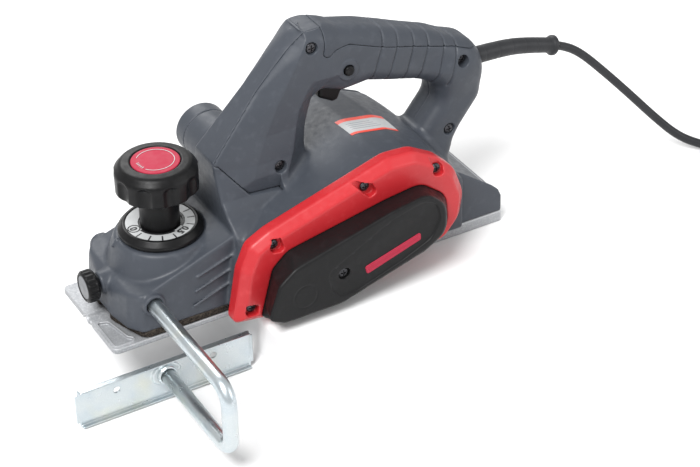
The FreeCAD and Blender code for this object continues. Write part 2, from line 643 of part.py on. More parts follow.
def make_drive():
    drum, motor = ("0", "drum_radius"), ("motor_x", "motor_z")
    inside = belt_loop("BeltInside", 0.3, ("belt_low - 1", "belt_high + 1"))
    outside = belt_loop("BeltOutside", 2.9, ("belt_low", "belt_high"))
    publish("drive_belt", cut("DriveBelt", outside, inside))
    publish("drum_pulley", make_pulley("DrumPulley", drum, "drum_pulley_radius",
                                       "drum_shaft_radius"))
    publish("motor_pulley", make_pulley("MotorPulley", motor, "motor_pulley_radius",
                                        "motor_shaft_radius"))


# ---- cutter drum -----------------------------------------------------------------------------

def opposite(name, base):
    """The same piece half a turn round the drum's axis."""
    twin = doc.addObject("Part::Feature", name)
    twin.Shape = base.Shape.rotated(Vector(0, 0, size("drum_radius")), Vector(0, 1, 0), 180)
    return twin


def drum_pair(name, piece):
    doc.recompute()
    return group(name, piece, opposite(name + "_twin", piece))


def make_cutter():
    axle, width = ("0", "drum_radius"), ("-drum_half", "drum_half")
    core = rod("DrumCore", "Y", axle, width, "drum_core")
    slot = box("BladeSlot", ("16.5", "30"), ("-50", "50"), ("drum_radius", "drum_radius + 9"))
    slots = drum_pair("BladeSlots", slot)
    bore = rod("DrumBore", "Y", axle, ("-50", "50"), "drum_shaft_radius")
    publish("cutter_drum", cut("CutterDrum", core, slots, bore))
    publish("drum_shaft", rod("DrumShaft", "Y", axle, ("-73.5", "50"), "drum_shaft_radius"))
    blade = box("Blade", ("17", "drum_radius"), width,
                ("drum_radius", "drum_radius + blade_thick"))
    publish("planer_blades", drum_pair("Blades", blade))
    bolts, rooms = [], []
    for index, y in enumerate((-26, 0, 26)):
        bolts.append(rod("clamp_bolt_%d" % index, "X", (str(y), "drum_radius + 5"),
                         ("19", "25"), "2.4"))
        rooms.append(rod("bolt_room_%d" % index, "X", (str(y), "drum_radius + 5"),
                         ("19", "26"), "2.4"))
    gib = cut("Gib", box("GibBlank", ("16.5", "24"), width,
                         ("drum_radius + blade_thick", "drum_radius + 9")), *rooms)
    publish("blade_clamps", drum_pair("BladeClamps", gib))
    publish("clamp_bolts", drum_pair("ClampBolts", group("ClampBoltRow", *bolts)))


def make_bearings():
    drum, motor = ("0", "drum_radius"), ("motor_x", "motor_z")
    for name, centre, shaft in (("drum_bearings", drum, "drum_shaft_radius"),
                                ("motor_bearings", motor, "motor_shaft_radius")):
        rings = [ring("%s_%d" % (name, index), "Y", centre, span, "bearing_radius",
                      shaft + " + 0.03") for index, span in enumerate((("-50", "-42"),
                                                                       ("42", "50")))]
        publish(name, group(name + "_pair", *rings))


# ---- motor -----------------------------------------------------------------------------------

def make_motor():
    axis = ("motor_x", "motor_z")
    publish("motor_stator", ring("Stator", "Y", axis, ("-20", "25"), "motor_bore", "stator_in"))
    coils = [ring("CoilEnd_0", "Y", axis, ("-26.5", "-20"), "28", "19"),
             ring("CoilEnd_1", "Y", axis, ("25", "31"), "28", "19")]
    publish("field_coils", group("FieldCoils", *coils))
    publish("motor_shaft", rod("MotorShaft", "Y", axis, ("-73.5", "49.5"), "motor_shaft_radius"))
    publish("armature_core", ring("ArmatureCore", "Y", axis, ("-20", "25"), "core_radius",
                                  "motor_shaft_radius"))
    ends = [ring("Winding_0", "Y", axis, ("-25", "-20"), "15", "motor_shaft_radius"),
            ring("Winding_1", "Y", axis, ("25", "30"), "15", "motor_shaft_radius")]
    publish("armature_windings", group("Windings", *ends))
    publish("commutator", ring("Commutator", "Y", axis, ("31", "39.5"), "11.5",
                               "motor_shaft_radius"))
    make_fan()
    brushes, holders = [], []
    for side, (near, far, back) in (("rear", ("11.7", "22", "29")),
                                    ("front", ("-22", "-11.7", "-29"))):
        brush = box("brush_" + side, ("motor_x + " + near, "motor_x + " + far), ("33", "37.5"),
                    ("motor_z - 3", "motor_z + 3"))
        low, high = sorted((float(back), 14.5 * (1 if side == "rear" else -1)))
        sleeve = box("sleeve_" + side, ("motor_x + %s" % low, "motor_x + %s" % high),
                     ("31.6", "39"), ("motor_z - 5", "motor_z + 5"))
        brushes.append(brush)
        holders.append(cut("holder_" + side, sleeve, brush))
    publish("carbon_brushes", group("CarbonBrushes", *brushes))
    publish("brush_holders", group("BrushHolders", *holders))


def make_fan():
    """A disc with a ring of straight blades on the motor's shaft."""
    body = doc.addObject("PartDesign::Body", "CoolingFan")
    bore, rim = size("motor_shaft_radius"), size("fan_radius")
    plan = [circle(0, 0, bore), circle(0, 0, rim)]
    pad(body, "FanDisc", sketch_on(body, "FanPlan", "XZ_Plane", "30", plan), "2")
    blade = [(12, -0.9, 0), (rim - 1, -0.9, 0), (rim - 1, 0.9, 0), (12, 0.9, 0)]
    first = pad(body, "FanBlade", sketch_on(body, "BladePlan", "XZ_Plane", "31.5",
                                            rounded(blade)), "6")
    polar(body, "FanBlades", first, "Y_Axis", 12)
    place(body, "motor_x", "0", "motor_z")
    publish("cooling_fan", body)


# ---- depth adjuster --------------------------------------------------------------------------

def turned(name, profile):
    """A body revolved about the depth knob's axis from a half profile in the XZ plane."""
    body = doc.addObject("PartDesign::Body", name)
    sketch = sketch_on(body, name + "_profile", "XZ_Plane", "0", rounded(profile))
    spin = body.newObject("PartDesign::Revolution", name + "_spin")
    spin.Profile = sketch
    spin.ReferenceAxis = (sketch, ["V_Axis"])
    spin.Angle = 360
    body.Tip = spin
    return body


def make_depth_adjuster():
    low, high = size("head_low"), size("head_high")
    stem, head, screw = size("stem_radius"), size("head_radius"), size("screw_radius")
    seat = size("dial_top") - 1.4
    profile = [(0, low - 2, 0), (screw, low - 2, 0), (screw, seat, 0), (stem, seat, 0),
               (stem, low - 4, 3), (stem + 4, low, 2), (head - 2, low, 1), (head, low + 3, 1),
               (head, high - 6, 4), (head - 5, high, 4), (16.1, high + 0.3, 0),
               (16.1, high - 0.8, 0), (0, high - 0.8, 0)]
    knob = turned("DepthKnob", profile)
    flute = [circle(head + 4.4, 0, 7)]
    groove = pocket(knob, "GripFlute", sketch_on(knob, "FlutePlan", "XY_Plane",
                                                 "head_high - 5", flute), "40")
    polar(knob, "GripFlutes", groove, "Z_Axis", 10)
    place(knob, "knob_x")
    publish("depth_knob", knob)
    centre = ("knob_x", "0")
    publish("knob_cap", rod("KnobCap", "Z", centre, ("head_high - 0.8", "head_high + 0.4"),
                            "16"))
    base = size("dial_top") - 6.7
    rim = size("dial_radius")
    dial = turned("DialRing", [(screw, base, 0), (rim - 0.8, base, 0), (rim, base + 1, 0.5),
                               (rim, base + 2.7, 1), (24.6, base + 6.7, 1),
                               (22.9, base + 6.7, 0), (22.9, seat, 0), (screw, seat, 0)])
    place(dial, "knob_x")
    publish("dial_ring", dial)
    publish("scale_ring", ring("ScaleRing", "Z", centre, ("dial_top - 1.4", "dial_top - 0.6"),
                               "scale_out", "scale_in"))
    publish("depth_screw", rod("DepthScrew", "Z", centre, ("7", "head_low - 2"),
                               "screw_radius"))
    publish("depth_nut", ring("DepthNut", "Z", centre, ("5", "15"), "7.5",
                              "screw_radius + 0.05"))
    springs = []
    for side in (-24, 24):
        coil = spring("shoe_spring_%s" % ("left" if side < 0 else "right"), 5, 0.8, 30, 7)
        place(coil, "-52", side, "5")
        springs.append(coil)
    publish("shoe_springs", group("ShoeSprings", *springs))


# ---- edge fence ------------------------------------------------------------------------------

def make_fence():
    x, bend_y = size("rod_x"), size("rod_bend_y")
    route = [(x, size("rod_inner_end"), size("rod_z")), (x, bend_y, size("rod_z")),
             (x, bend_y, size("fence_z")), (x, size("fence_face") - 2, size("fence_z"))]
    publish("fence_rod", feature("FenceRod", bent_rod(route, size("rod_radius"),
                                                      size("rod_bend_radius"))))
    across = ("fence_front", "fence_back")
    back = "fence_face - fence_thick"
    sheet_metal = [box("FenceSheet", across, (back, "fence_face"), ("fence_low", "fence_high")),
                   box("FenceTop", across, (back + " - 3", "fence_face"),
                       ("fence_high - 1.5", "fence_high")),
                   box("FenceFoot", across, (back + " - 3", "fence_face"),
                       ("fence_low", "fence_low + 1.5")),
                   box("FenceToe", ("fence_front - 2", "fence_front"), (back + " - 4", "fence_face"),
                       ("fence_low + 3", "fence_high - 3")),
                   box("FenceHeel", ("fence_back", "fence_back + 2"), (back + " - 4", "fence_face"),
                       ("fence_low + 3", "fence_high - 3"))]
    holes = [rod("fence_hole_%d" % index, "Y", ("rod_x + %s" % shift, "fence_z"), ("-60", "-40"),
                 "2.4") for index, shift in enumerate((-34.5, 34.5))]
    publish("fence_plate", cut("FencePlate", fuse("FenceBlank", *sheet_metal), *holes))
    publish("fence_collar", ring("FenceCollar", "Y", ("rod_x", "fence_z"),
                                 (back + " - 4", back), "rod_radius + 1.9", "rod_radius"))


def bent_rod(route, radius, bend):
    """A round bar along straight legs with equal bends."""
    points = [Vector(*point) for point in route]
    edges, last = [], points[0]
    for before, point, after in zip(points, points[1:], points[2:]):
        back, ahead = (before - point).normalize(), (after - point).normalize()
        enter, leave = point + back * bend, point + ahead * bend
        inward = (back + ahead).normalize()
        middle = point + inward * (bend * (math.sqrt(2) - 1))
        edges += [Part.LineSegment(last, enter).toShape(), Part.Arc(enter, middle, leave).toShape()]
        last = leave
    edges.append(Part.LineSegment(last, points[-1]).toShape())
    section = Part.Wire(Part.makeCircle(radius, points[0], points[1] - points[0]))
    return Part.Wire(edges).makePipeShell([section], True, True)


def make_fence_clamp():
    body = doc.addObject("PartDesign::Body", "ClampKnob")
    pad(body, "ClampDisc", sketch_on(body, "ClampPlan", "YZ_Plane", "-128",
                                     [circle(0, 0, 11)]), "8.5")
    notch = pocket(body, "ClampNotch", sketch_on(body, "NotchPlan", "YZ_Plane", "-119",
                                                 [circle(12, 0, 2)]), "20")
    polar(body, "ClampNotches", notch, "X_Axis", 16)
    place(body, "0", "0", "rod_z")
    publish("fence_clamp_knob", body)
    publish("fence_clamp_screw", rod("ClampScrew", "X", ("0", "rod_z"),
                                     ("-119.5", "rod_x - rod_radius - 0.05"), "3"))


# ---- mains cord ------------------------------------------------------------------------------

def make_cord():
    boot = tube("boot", BOOT_ROUTE, size("boot_radius"))
    heading = (Vector(*BOOT_ROUTE[-1]) - Vector(*BOOT_ROUTE[-2])).normalize()
    lip = Part.makeCylinder(7.5, 3, Vector(*BOOT_ROUTE[-1]) - heading * 4, heading)
    publish("cord_boot", feature("CordBoot", boot.fuse(lip).removeSplitter()))
    radius = size("cord_radius")
    runs = [tube("cord", CORD_ROUTE, radius), tail_tube(radius)]
    publish("cord", feature("Cord", Part.makeCompound(runs)))
    publish("cord_coil", ring("CordCoil", "Z", ("coil_x", "coil_y"), ("0", "coil_high"),
                              "coil_out", "coil_in"))
    half = 17.5
    y, x = size("plug_y"), size("plug_x")
    plan = [(x - 9, y, 4), (x + 9, y, 4), (x + half, y + 18, 8), (x + half, y + 38, 4),
            (x - half, y + 38, 4), (x - half, y + 18, 8)]
    publish("mains_plug", prism("MainsPlug", "XY_Plane", plan, ("0", "2 * plug_z")))
    pins = [rod("pin_%s" % side, "Y", ("plug_x + %s" % shift, "plug_z"),
                ("plug_y + 38", "plug_y + 57"), "2.4") for side, shift in (("a", -9.5),
                                                                          ("b", 9.5))]
    publish("plug_pins", group("PlugPins", *pins))


def tail_tube(radius):
    """The short straight lead from the coil to the plug."""
    start, finish = (Vector(*point) for point in CORD_TAIL)
    return Part.makeCylinder(radius, (finish - start).Length, start, finish - start)


# ---- build and write -------------------------------------------------------------------------

def check(thing):
    if "Invalid" in thing.State or "Error" in thing.State:
        raise RuntimeError("%s failed: %s" % (thing.Label, thing.State))


def write_nodes():
    doc.recompute()
    for thing in doc.Objects:
        check(thing)
    os.makedirs("parts", exist_ok=True)
    for thing in nodes:
        shape = thing.Shape
        if shape.isNull() or not shape.isValid() or not shape.Solids:
            raise RuntimeError(thing.Label + " has no valid solid")
        print("%-20s solids %d  volume %.1f cm3" % (thing.Label, len(shape.Solids),
                                                    shape.Volume / 1000))
        shape.exportStep(os.path.join("parts", thing.Label + ".step"))
    print(len(nodes), "nodes")


make_rear_sole()
make_front_shoe()
make_dust_seal()
housing = housing_outside()
make_main_housing(housing)
make_side_cover()
make_chip_outlet()
make_handle(housing)
make_trigger()
make_lock_button()
make_trim()
make_belt_cover()
make_drive()
make_cutter()
make_bearings()
make_motor()
make_depth_adjuster()
make_fence()
make_fence_clamp()
make_cord()
write_nodes()
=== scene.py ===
import functools
import math

import bpy
import numpy as np
from mathutils import Matrix, Vector
from mathutils.bvhtree import BVHTree


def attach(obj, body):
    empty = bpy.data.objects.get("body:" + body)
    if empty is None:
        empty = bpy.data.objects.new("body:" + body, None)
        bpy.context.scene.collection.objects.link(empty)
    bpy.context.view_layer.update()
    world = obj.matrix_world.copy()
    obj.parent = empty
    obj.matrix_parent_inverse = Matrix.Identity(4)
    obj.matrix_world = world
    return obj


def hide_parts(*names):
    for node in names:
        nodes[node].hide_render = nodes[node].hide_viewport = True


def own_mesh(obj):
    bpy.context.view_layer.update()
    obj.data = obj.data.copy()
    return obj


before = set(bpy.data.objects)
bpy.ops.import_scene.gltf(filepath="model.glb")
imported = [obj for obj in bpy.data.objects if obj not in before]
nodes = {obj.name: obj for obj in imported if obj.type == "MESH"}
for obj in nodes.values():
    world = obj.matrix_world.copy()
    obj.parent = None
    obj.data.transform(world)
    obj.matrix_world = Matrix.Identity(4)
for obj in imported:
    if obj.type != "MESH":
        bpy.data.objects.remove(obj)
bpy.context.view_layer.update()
MM = 0.001
COARSE = 1.0


def put(name, data):
    """A new object in the scene."""
    thing = bpy.data.objects.new(name, data)
    bpy.context.scene.collection.objects.link(thing)
    return thing


def on_circle(centre, radius, angle):
    """The two coordinates of a point on a circle."""
    return centre[0] + radius * math.cos(angle), centre[1] + radius * math.sin(angle)


# ---- camera and cord

CAMERA_AT = Vector((-0.51838, -1.04196, 0.82130))
CAMERA_ANGLES = (-29.46, 34.46, -1.16)  # round the object, above it, and roll, in degrees
CAMERA_LENS = 108.27


def add_camera():
    """The view of the photo."""
    data = bpy.data.cameras.new("camera")
    data.sensor_width, data.lens = 36, CAMERA_LENS
    data.clip_start, data.clip_end = 0.05, 30
    around, above, roll = (math.radians(angle) for angle in CAMERA_ANGLES)
    back = Vector((math.sin(around) * math.cos(above), -math.cos(around) * math.cos(above),
                   math.sin(above)))
    right = (-back).cross(Vector((0, 0, 1))).normalized()
    up = right.cross(-back)
    camera_x = right * math.cos(roll) + up * math.sin(roll)
    camera_y = up * math.cos(roll) - right * math.sin(roll)
    camera = put("camera", data)
    place = Matrix((camera_x, camera_y, back)).transposed().to_4x4()
    place.translation = CAMERA_AT
    camera.matrix_world = place
    bpy.context.scene.camera = camera


# The cord's route in millimetres: out of the boot, down, and along the surface to its coil.
CORD_ROUTE = [(236, 0, 99.3), (246, -0.3, 95.7), (258.5, -2.2, 87), (274, -7, 71),
              (293, -13.5, 50), (311, -21.5, 29), (327, -30.5, 12), (342, -40, 4.4),
              (356, -52, 3.1), (366, -67.2, 3.1)]
CORD_TAIL = [(440.4, -30, 20.8), (440.1, -17, 15), (440.1, -5, 10)]
COIL_CENTRE, CORD_RADIUS = (399.7, -45), 3.1
BOOT_ROUTE = [(160, 0, 111), (188, 0, 110.6), (212, 0, 106.9), (236, 0, 99.3)]


def coil_turns(per_turn=16):
    """Control points of the stored length: four layers that wind in and out a diameter apart."""
    start, end, layers = 213.4, 3960, 4
    outer, inward = 40.4, 12.4
    turns_in_all = (end - start) / 360
    steps = round(turns_in_all * per_turn)
    layer_turns, pull = turns_in_all / layers, 1 / 0.981
    points = []
    for step in range(1, steps + 1):
        turns = turns_in_all * step / steps
        layer = min(int(turns / layer_turns), layers - 1)
        wound = min(max((turns - layer * layer_turns - 0.3) / 2, 0), 1)
        radius = outer - inward * (wound if layer % 2 == 0 else 1 - wound)
        height = CORD_RADIUS
        for change in range(1, layers):
            rise = min(max((turns - change * layer_turns) / 0.5 + 0.5, 0), 1)
            height += 2 * CORD_RADIUS * rise * rise * (3 - 2 * rise)
        angle = math.radians(start + 360 * turns)
        points.append((*on_circle(COIL_CENTRE, radius * pull, angle), height))
    return points


def smooth_curve(name, points, radius=0.0):
    """A smooth open line through space with given control points in millimetres."""
    data = bpy.data.curves.new(name, "CURVE")
    data.dimensions, data.resolution_u = "3D", 6
    spline = data.splines.new("NURBS")
    spline.points.add(len(points) - 1)
    for point, (x, y, z) in zip(spline.points, points):
        point.co = (x * MM, y * MM, z * MM, 1)
    spline.order_u, spline.use_endpoint_u = 3, True
    data.bevel_depth, data.bevel_resolution, data.use_fill_caps = radius * MM, 5, radius > 0
    return put(name, data)


def line_points(route):
    """Points along a route's smooth line, in millimetres."""
    curve = smooth_curve("line", route)
    mesh = bpy.data.meshes.new_from_object(curve)
    points = np.array([v.co for v in mesh.vertices]) / MM
    bpy.data.objects.remove(curve)
    return points


# ---- distance fields
# Shapes are distance fields in millimetres, negative inside, sampled on a grid and then meshed.

class Grid:
    def __init__(self, low, high, step):
        self.low, self.step = np.array(low, float), step * COARSE
        counts = [int(math.ceil((b - a) / self.step)) + 1 for a, b in zip(low, high)]
        axes = [np.float32(a + self.step * np.arange(n)) for a, n in zip(low, counts)]
        self.x, self.y, self.z = (axes[0][:, None, None], axes[1][None, :, None],
                                  axes[2][None, None, :])
        self.shape = tuple(counts)

    def side(self, outline):
        """Distance to an outline seen from the side, in x and z."""
        return outline_distance(self.x, self.z, rounded(outline))

    def plan(self, outline):
        """Distance to an outline seen from above, in x and y."""
        return outline_distance(self.x, self.y, rounded(outline))

    def about(self, axis, centre):
        """Place along an axis and distance from it; centre gives its two other coordinates."""
        sides = [self.x, self.y, self.z]
        along = sides.pop("XYZ".index(axis))
        return along, np.hypot(sides[0] - centre[0], sides[1] - centre[1])

    def turned(self, axis, centre, profile):
        """A profile of (radius, along, corner radius) points turned about an axis."""
        along, radius = self.about(axis, centre)
        along, radius = along.ravel(), np.squeeze(radius, "XYZ".index(axis))
        reach = np.arange(0, float(radius.max()) + 1, self.step / 2, dtype=np.float32)
        flat = outline_distance(reach[:, None], along[None, :], rounded(profile))
        field = np.empty((len(along),) + radius.shape, np.float32)
        for index in range(len(along)):
            field[index] = np.interp(radius, reach, flat[:, index])
        return np.moveaxis(field, 0, "XYZ".index(axis))

    def rod(self, axis, centre, low, high, radius, edge=0.3):
        """A round bar along an axis, with flat ends."""
        along, distance = self.about(axis, centre)
        return between(distance - radius, along, low, high, edge)

    def capsule(self, start, end, radius):
        """A round bar with ball ends between two points."""
        start, end = np.array(start, float), np.array(end, float)
        line = end - start
        t = ((self.x - start[0]) * line[0] + (self.y - start[1]) * line[1]
             + (self.z - start[2]) * line[2]) / (line @ line)
        t = np.clip(t, 0, 1)
        return np.sqrt((self.x - start[0] - t * line[0]) ** 2
                       + (self.y - start[1] - t * line[1]) ** 2
                       + (self.z - start[2] - t * line[2]) ** 2) - radius

    def box(self, low, high, edge=0.3):
        """A block between two corners, with rounded edges."""
        half = [(b - a) / 2 for a, b in zip(low, high)]
        q = [np.abs(c - (a + b) / 2) - h + edge
             for c, a, b, h in zip((self.x, self.y, self.z), low, high, half)]
        outside = np.sqrt(sum(np.maximum(c, 0) ** 2 for c in q))
        return outside + np.minimum(np.maximum(np.maximum(q[0], q[1]), q[2]), 0) - edge


def rounded(outline):
    """Points round a closed outline of (u, v, corner radius) points."""
    corners = [np.array(corner[:2], float) for corner in outline]
    path = []
    for index, (_, _, radius) in enumerate(outline):
        point = corners[index]
        back = corners[index - 1] - point
        ahead = corners[(index + 1) % len(corners)] - point
        back, ahead = back / np.linalg.norm(back), ahead / np.linalg.norm(ahead)
        if radius < 0.05:
            path.append(point)
            continue
        half = math.acos(max(-1, min(1, float(back @ ahead)))) / 2
        middle = (back + ahead) / np.linalg.norm(back + ahead)
        centre = point + middle * radius / math.sin(half)
        enter = point + back * radius / math.tan(half) - centre
        leave = point + ahead * radius / math.tan(half) - centre
        for t in np.linspace(0, 1, 7):
            arm = enter * (1 - t) + leave * t
            path.append(centre + arm / np.linalg.norm(arm) * radius)
    return np.array(path)


def outline_distance(u, v, path):
    """Signed distance from points (u, v) to a closed path."""
    shape = np.broadcast(u, v).shape
    flat = np.stack([np.broadcast_to(u, shape).ravel(), np.broadcast_to(v, shape).ravel()], 1)
    best = np.full(len(flat), 1e9)
    inside = np.zeros(len(flat), bool)
    for a, b in zip(path, np.roll(path, -1, 0)):
        edge = b - a
        if edge @ edge < 1e-9:
            continue
        arm = flat - a
        t = np.clip(arm @ edge / (edge @ edge), 0, 1)
        best = np.minimum(best, (arm[:, 0] - t * edge[0]) ** 2 + (arm[:, 1] - t * edge[1]) ** 2)
        if edge[1]:
            passed = (a[1] > flat[:, 1]) != (b[1] > flat[:, 1])
            inside ^= passed & (arm[:, 0] < arm[:, 1] * edge[0] / edge[1])
    distance = np.sqrt(best)
    return np.where(inside, -distance, distance).reshape(shape).astype(np.float32)


def between(across, along, low, high, edge):
    """Hold a flat field between two ends, with rounded edges."""
    middle, half = (np.asarray(low) + high) / 2, (np.asarray(high) - low) / 2
    a, b = across + edge, np.abs(along - middle) - half + edge
    return np.minimum(np.maximum(a, b), 0) + np.hypot(np.maximum(a, 0), np.maximum(b, 0)) - edge


def join(a, b, k=0.5):
    """Both shapes as one, with a fillet of about k along the seam."""
    h = np.maximum(k - np.abs(a - b), 0) / k
    return np.minimum(a, b) - h * h * k / 4


def meet(a, b, k=0.5):
    """What two shapes share, with a rounded edge."""
    return -join(-a, -b, k)


def carve(a, b, k=0.5):
    """The first shape less the second, with a rounded edge."""
    return -join(-a, b, k)


def union(*parts):
    """All the shapes as one, with no fillets."""
    return functools.reduce(np.minimum, parts)


def cut(form, *tools):
    """A shape less each of the tools, with sharp edges."""
    return functools.reduce(lambda left, tool: np.maximum(left, -tool), tools, form)


def mirrored(near, far):
    """The same span of y on each side of the middle plane."""
    return (-far, -near), (near, far)


def ease(value, low, high):
    """A smooth step from 0 to 1."""
    t = np.clip((value - low) / (high - low), 0, 1)
    return t * t * (3 - 2 * t)


def surface(grid, field):
    """Vertices and quads of the zero surface of a sampled field, one vertex per crossed cell."""
    field = np.array(np.broadcast_to(field, grid.shape), np.float32)
    for axis in range(3):
        ends = np.moveaxis(field, axis, 0)
        ends[0] = np.maximum(ends[0], 0.1)
        ends[-1] = np.maximum(ends[-1], 0.1)
    inside = field < 0
    stride = np.array([grid.shape[1] * grid.shape[2], grid.shape[2], 1])
    cells, points, faces = [], [], []
    for axis in range(3):
        low = np.moveaxis(inside, axis, 0)[:-1]
        high = np.moveaxis(inside, axis, 0)[1:]
        found = np.argwhere(low != high)
        index = np.empty_like(found)
        order = [axis] + [a for a in range(3) if a != axis]
        index[:, order] = found
        unit = np.eye(3, dtype=int)[axis]
        a, b = field[tuple(index.T)], field[tuple((index + unit).T)]
        crossing = index + unit * (a / (a - b))[:, None]
        u, w = np.eye(3, dtype=int)[(axis + 1) % 3], np.eye(3, dtype=int)[(axis + 2) % 3]
        ring = np.stack([(index + shift) @ stride for shift in (-u - w, -w, 0 * u, -u)], 1)
        faces.append(np.where((a < 0)[:, None], ring, ring[:, ::-1]))
        cells.append(ring.ravel())
        points.append(np.repeat(crossing, 4, 0))
    cells, points, faces = np.concatenate(cells), np.concatenate(points), np.concatenate(faces)
    used, inverse = np.unique(cells, return_inverse=True)
    count = np.bincount(inverse)
    mean = np.stack([np.bincount(inverse, points[:, i]) / count for i in range(3)], 1)
    return mean * grid.step + grid.low, np.searchsorted(used, faces)


# ---- objects

def new_object(name, vertices, faces, material):
    """A smooth-shaded mesh object from millimetre vertices and an array of faces."""
    mesh = bpy.data.meshes.new(name)
    faces = np.asarray(faces, np.int32)
    mesh.vertices.add(len(vertices))
    mesh.vertices.foreach_set("co", (np.asarray(vertices, float) * MM).ravel())
    mesh.loops.add(faces.size)
    mesh.loops.foreach_set("vertex_index", faces.ravel())
    mesh.polygons.add(len(faces))
    mesh.polygons.foreach_set("loop_start", np.arange(0, faces.size, faces.shape[1]))
    mesh.update(calc_edges=True)
    mesh.validate()
    mesh.shade_smooth()
    mesh.materials.append(material)
    return put(name, mesh)


def adopt(thing, body, slot, *stands_for):
    """Give a finished piece its body and hide the CAD nodes it stands for; slot is not used."""
    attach(thing, body)
    if stands_for:
        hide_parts(*stands_for)
    return thing


def sculpt(name, grid, field, body, slot, *stands_for, finish=None):
    """Mesh a field as a piece, in the finish of its slot unless another is named."""
    thing = new_object(name, *surface(grid, field), FINISHES[finish or slot])
    return adopt(thing, body, slot, *stands_for)


def copies(grid, field, places):
    """One small surface repeated at several places, as one set of vertices and faces."""
    vertices, faces = surface(grid, field)
    return (np.concatenate([vertices + np.array(place) for place in places]),
            np.concatenate([faces + index * len(vertices) for index in range(len(places))]))


# ---- materials

def srgb(*channels):
    """A colour of 0 to 255 as the linear one that a shader takes."""
    return tuple(((c / 255 + 0.055) / 1.055) ** 2.4 if c > 10 else c / 255 / 12.92
                 for c in channels) + (1.0,)


class Finish:
    """A Principled material whose colour, roughness and bump are layered from node textures."""

    def __init__(self, name, colour, roughness, metallic=0.0, specular=0.5):
        self.material = bpy.data.materials.new(name)
        self.material.use_nodes = True
        self.tree = self.material.node_tree
        self.shader = self.tree.nodes["Principled BSDF"]
        for socket, value in (("Base Color", srgb(*colour)), ("Roughness", roughness),
                              ("Metallic", metallic), ("Specular IOR Level", specular)):
            self.shader.inputs[socket].default_value = value
        self.colour, self.normal = None, None
        self.place = self.node("ShaderNodeTexCoord").outputs["Object"]

    def node(self, kind, **inputs):
        """A new node whose inputs are linked to sockets or set to values."""
        node = self.tree.nodes.new(kind)
        for name, value in inputs.items():
            socket = node.inputs[name.replace("_", " ")]
            if isinstance(value, bpy.types.NodeSocket):
                self.tree.links.new(value, socket)
            else:
                socket.default_value = value
        return node

    def stretched(self, x, y, z):
        """The place on the object, scaled along each axis."""
        return self.node("ShaderNodeMapping", Vector=self.place, Scale=(x, y, z)).outputs[0]

    def noise(self, size, detail=3, place=None):
        """Cloudy grain with features about size millimetres across."""
        return self.node("ShaderNodeTexNoise", Vector=place or self.place, Scale=1000 / size,
                         Detail=detail).outputs["Fac"]

    def cells(self, size):
        """Round cells about size millimetres across."""
        return self.node("ShaderNodeTexVoronoi", Vector=self.place,
                         Scale=1000 / size).outputs["Distance"]

    def edges(self, low=0.53, high=0.6):
        """Where the surface stands out in a narrow edge."""
        return self.span(self.node("ShaderNodeNewGeometry").outputs["Pointiness"], low, high)

    def span(self, value, low, high, bottom=0.0, top=1.0):
        """A value carried from one range to another, and held at its ends."""
        node = self.node("ShaderNodeMapRange", Value=value)
        node.clamp = True
        for name, number in (("From Min", low), ("From Max", high), ("To Min", bottom),
                             ("To Max", top)):
            node.inputs[name].default_value = number
        return node.outputs[0]

    def tint(self, factor, colour):
        """Mix a colour over the ones so far."""
        mix = self.node("ShaderNodeMix")
        mix.data_type = "RGBA"
        self.tree.links.new(factor, mix.inputs[0])
        if self.colour:
            self.tree.links.new(self.colour, mix.inputs[6])
        else:
            mix.inputs[6].default_value = self.shader.inputs["Base Color"].default_value
        mix.inputs[7].default_value = srgb(*colour)
        self.colour = mix.outputs[2]
        self.tree.links.new(self.colour, self.shader.inputs["Base Color"])

    def clouds(self, size, detail, low, high, most, colour):
        """Tint by cloudy grain, by nothing where it is low and by most where it is high."""
        self.tint(self.span(self.noise(size, detail), low, high, 0, most), colour)

    def rough(self, size, detail, low, high):
        """Let the roughness run from low to high with cloudy grain."""
        factor = self.span(self.noise(size, detail), 0.3, 0.7, low, high)
        self.tree.links.new(factor, self.shader.inputs["Roughness"])

    def grain(self, size, detail, depth):
        """Raise the surface by cloudy grain."""
        self.bump(self.noise(size, detail), depth)

    def bump(self, height, depth):
        """Raise the surface by height times depth millimetres."""
        node = self.node("ShaderNodeBump", Height=height, Distance=depth * MM)
        if self.normal:
            self.tree.links.new(self.normal, node.inputs["Normal"])
        self.normal = node.outputs[0]
        self.tree.links.new(self.normal, self.shader.inputs["Normal"])


def moulded(name, colour, light, dark, roughness, grain=0.45, specular=0.45):
    """Spark-textured moulded plastic with faint colour drift and paler edges, a painted highlight.
    """
    finish = Finish(name, colour, roughness, specular=specular)
    finish.clouds(35, 3, 0.35, 0.7, 0.35, dark)
    finish.clouds(6, 5, 0.55, 0.75, 0.18, light)
    # Paler edges from pointiness: a painted highlight along the edges.
    finish.tint(finish.span(finish.edges(), 0, 1, 0, 0.45), light)
    finish.rough(4, 4, roughness - 0.07, roughness + 0.08)
    finish.grain(grain, 2, 0.035)
    return finish.material


def rubber(name, colour, light, roughness):
    """Dull rubber with a fine grain."""
    finish = Finish(name, colour, roughness, specular=0.35)
    finish.clouds(12, 4, 0.4, 0.75, 0.3, light)
    finish.rough(2.5, 4, roughness - 0.1, roughness + 0.08)
    finish.grain(0.8, 3, 0.03)
    return finish.material


def cast_metal(name, colour, light, dark, roughness):
    """Sand-cast aluminium: speckled, slightly pitted, with a painted highlight along its edges."""
    finish = Finish(name, colour, roughness, metallic=0.45)
    finish.clouds(1.1, 5, 0.5, 0.66, 0.5, light)
    finish.clouds(1.6, 5, 0.55, 0.75, 0.4, dark)
    finish.clouds(22, 3, 0.45, 0.7, 0.2, dark)
    # Brighter edges from pointiness: a painted highlight along the edges.
    finish.tint(finish.edges(0.52, 0.58), light)
    finish.rough(1.4, 4, roughness - 0.1, roughness + 0.12)
    finish.grain(0.9, 4, 0.05)
    return finish.material


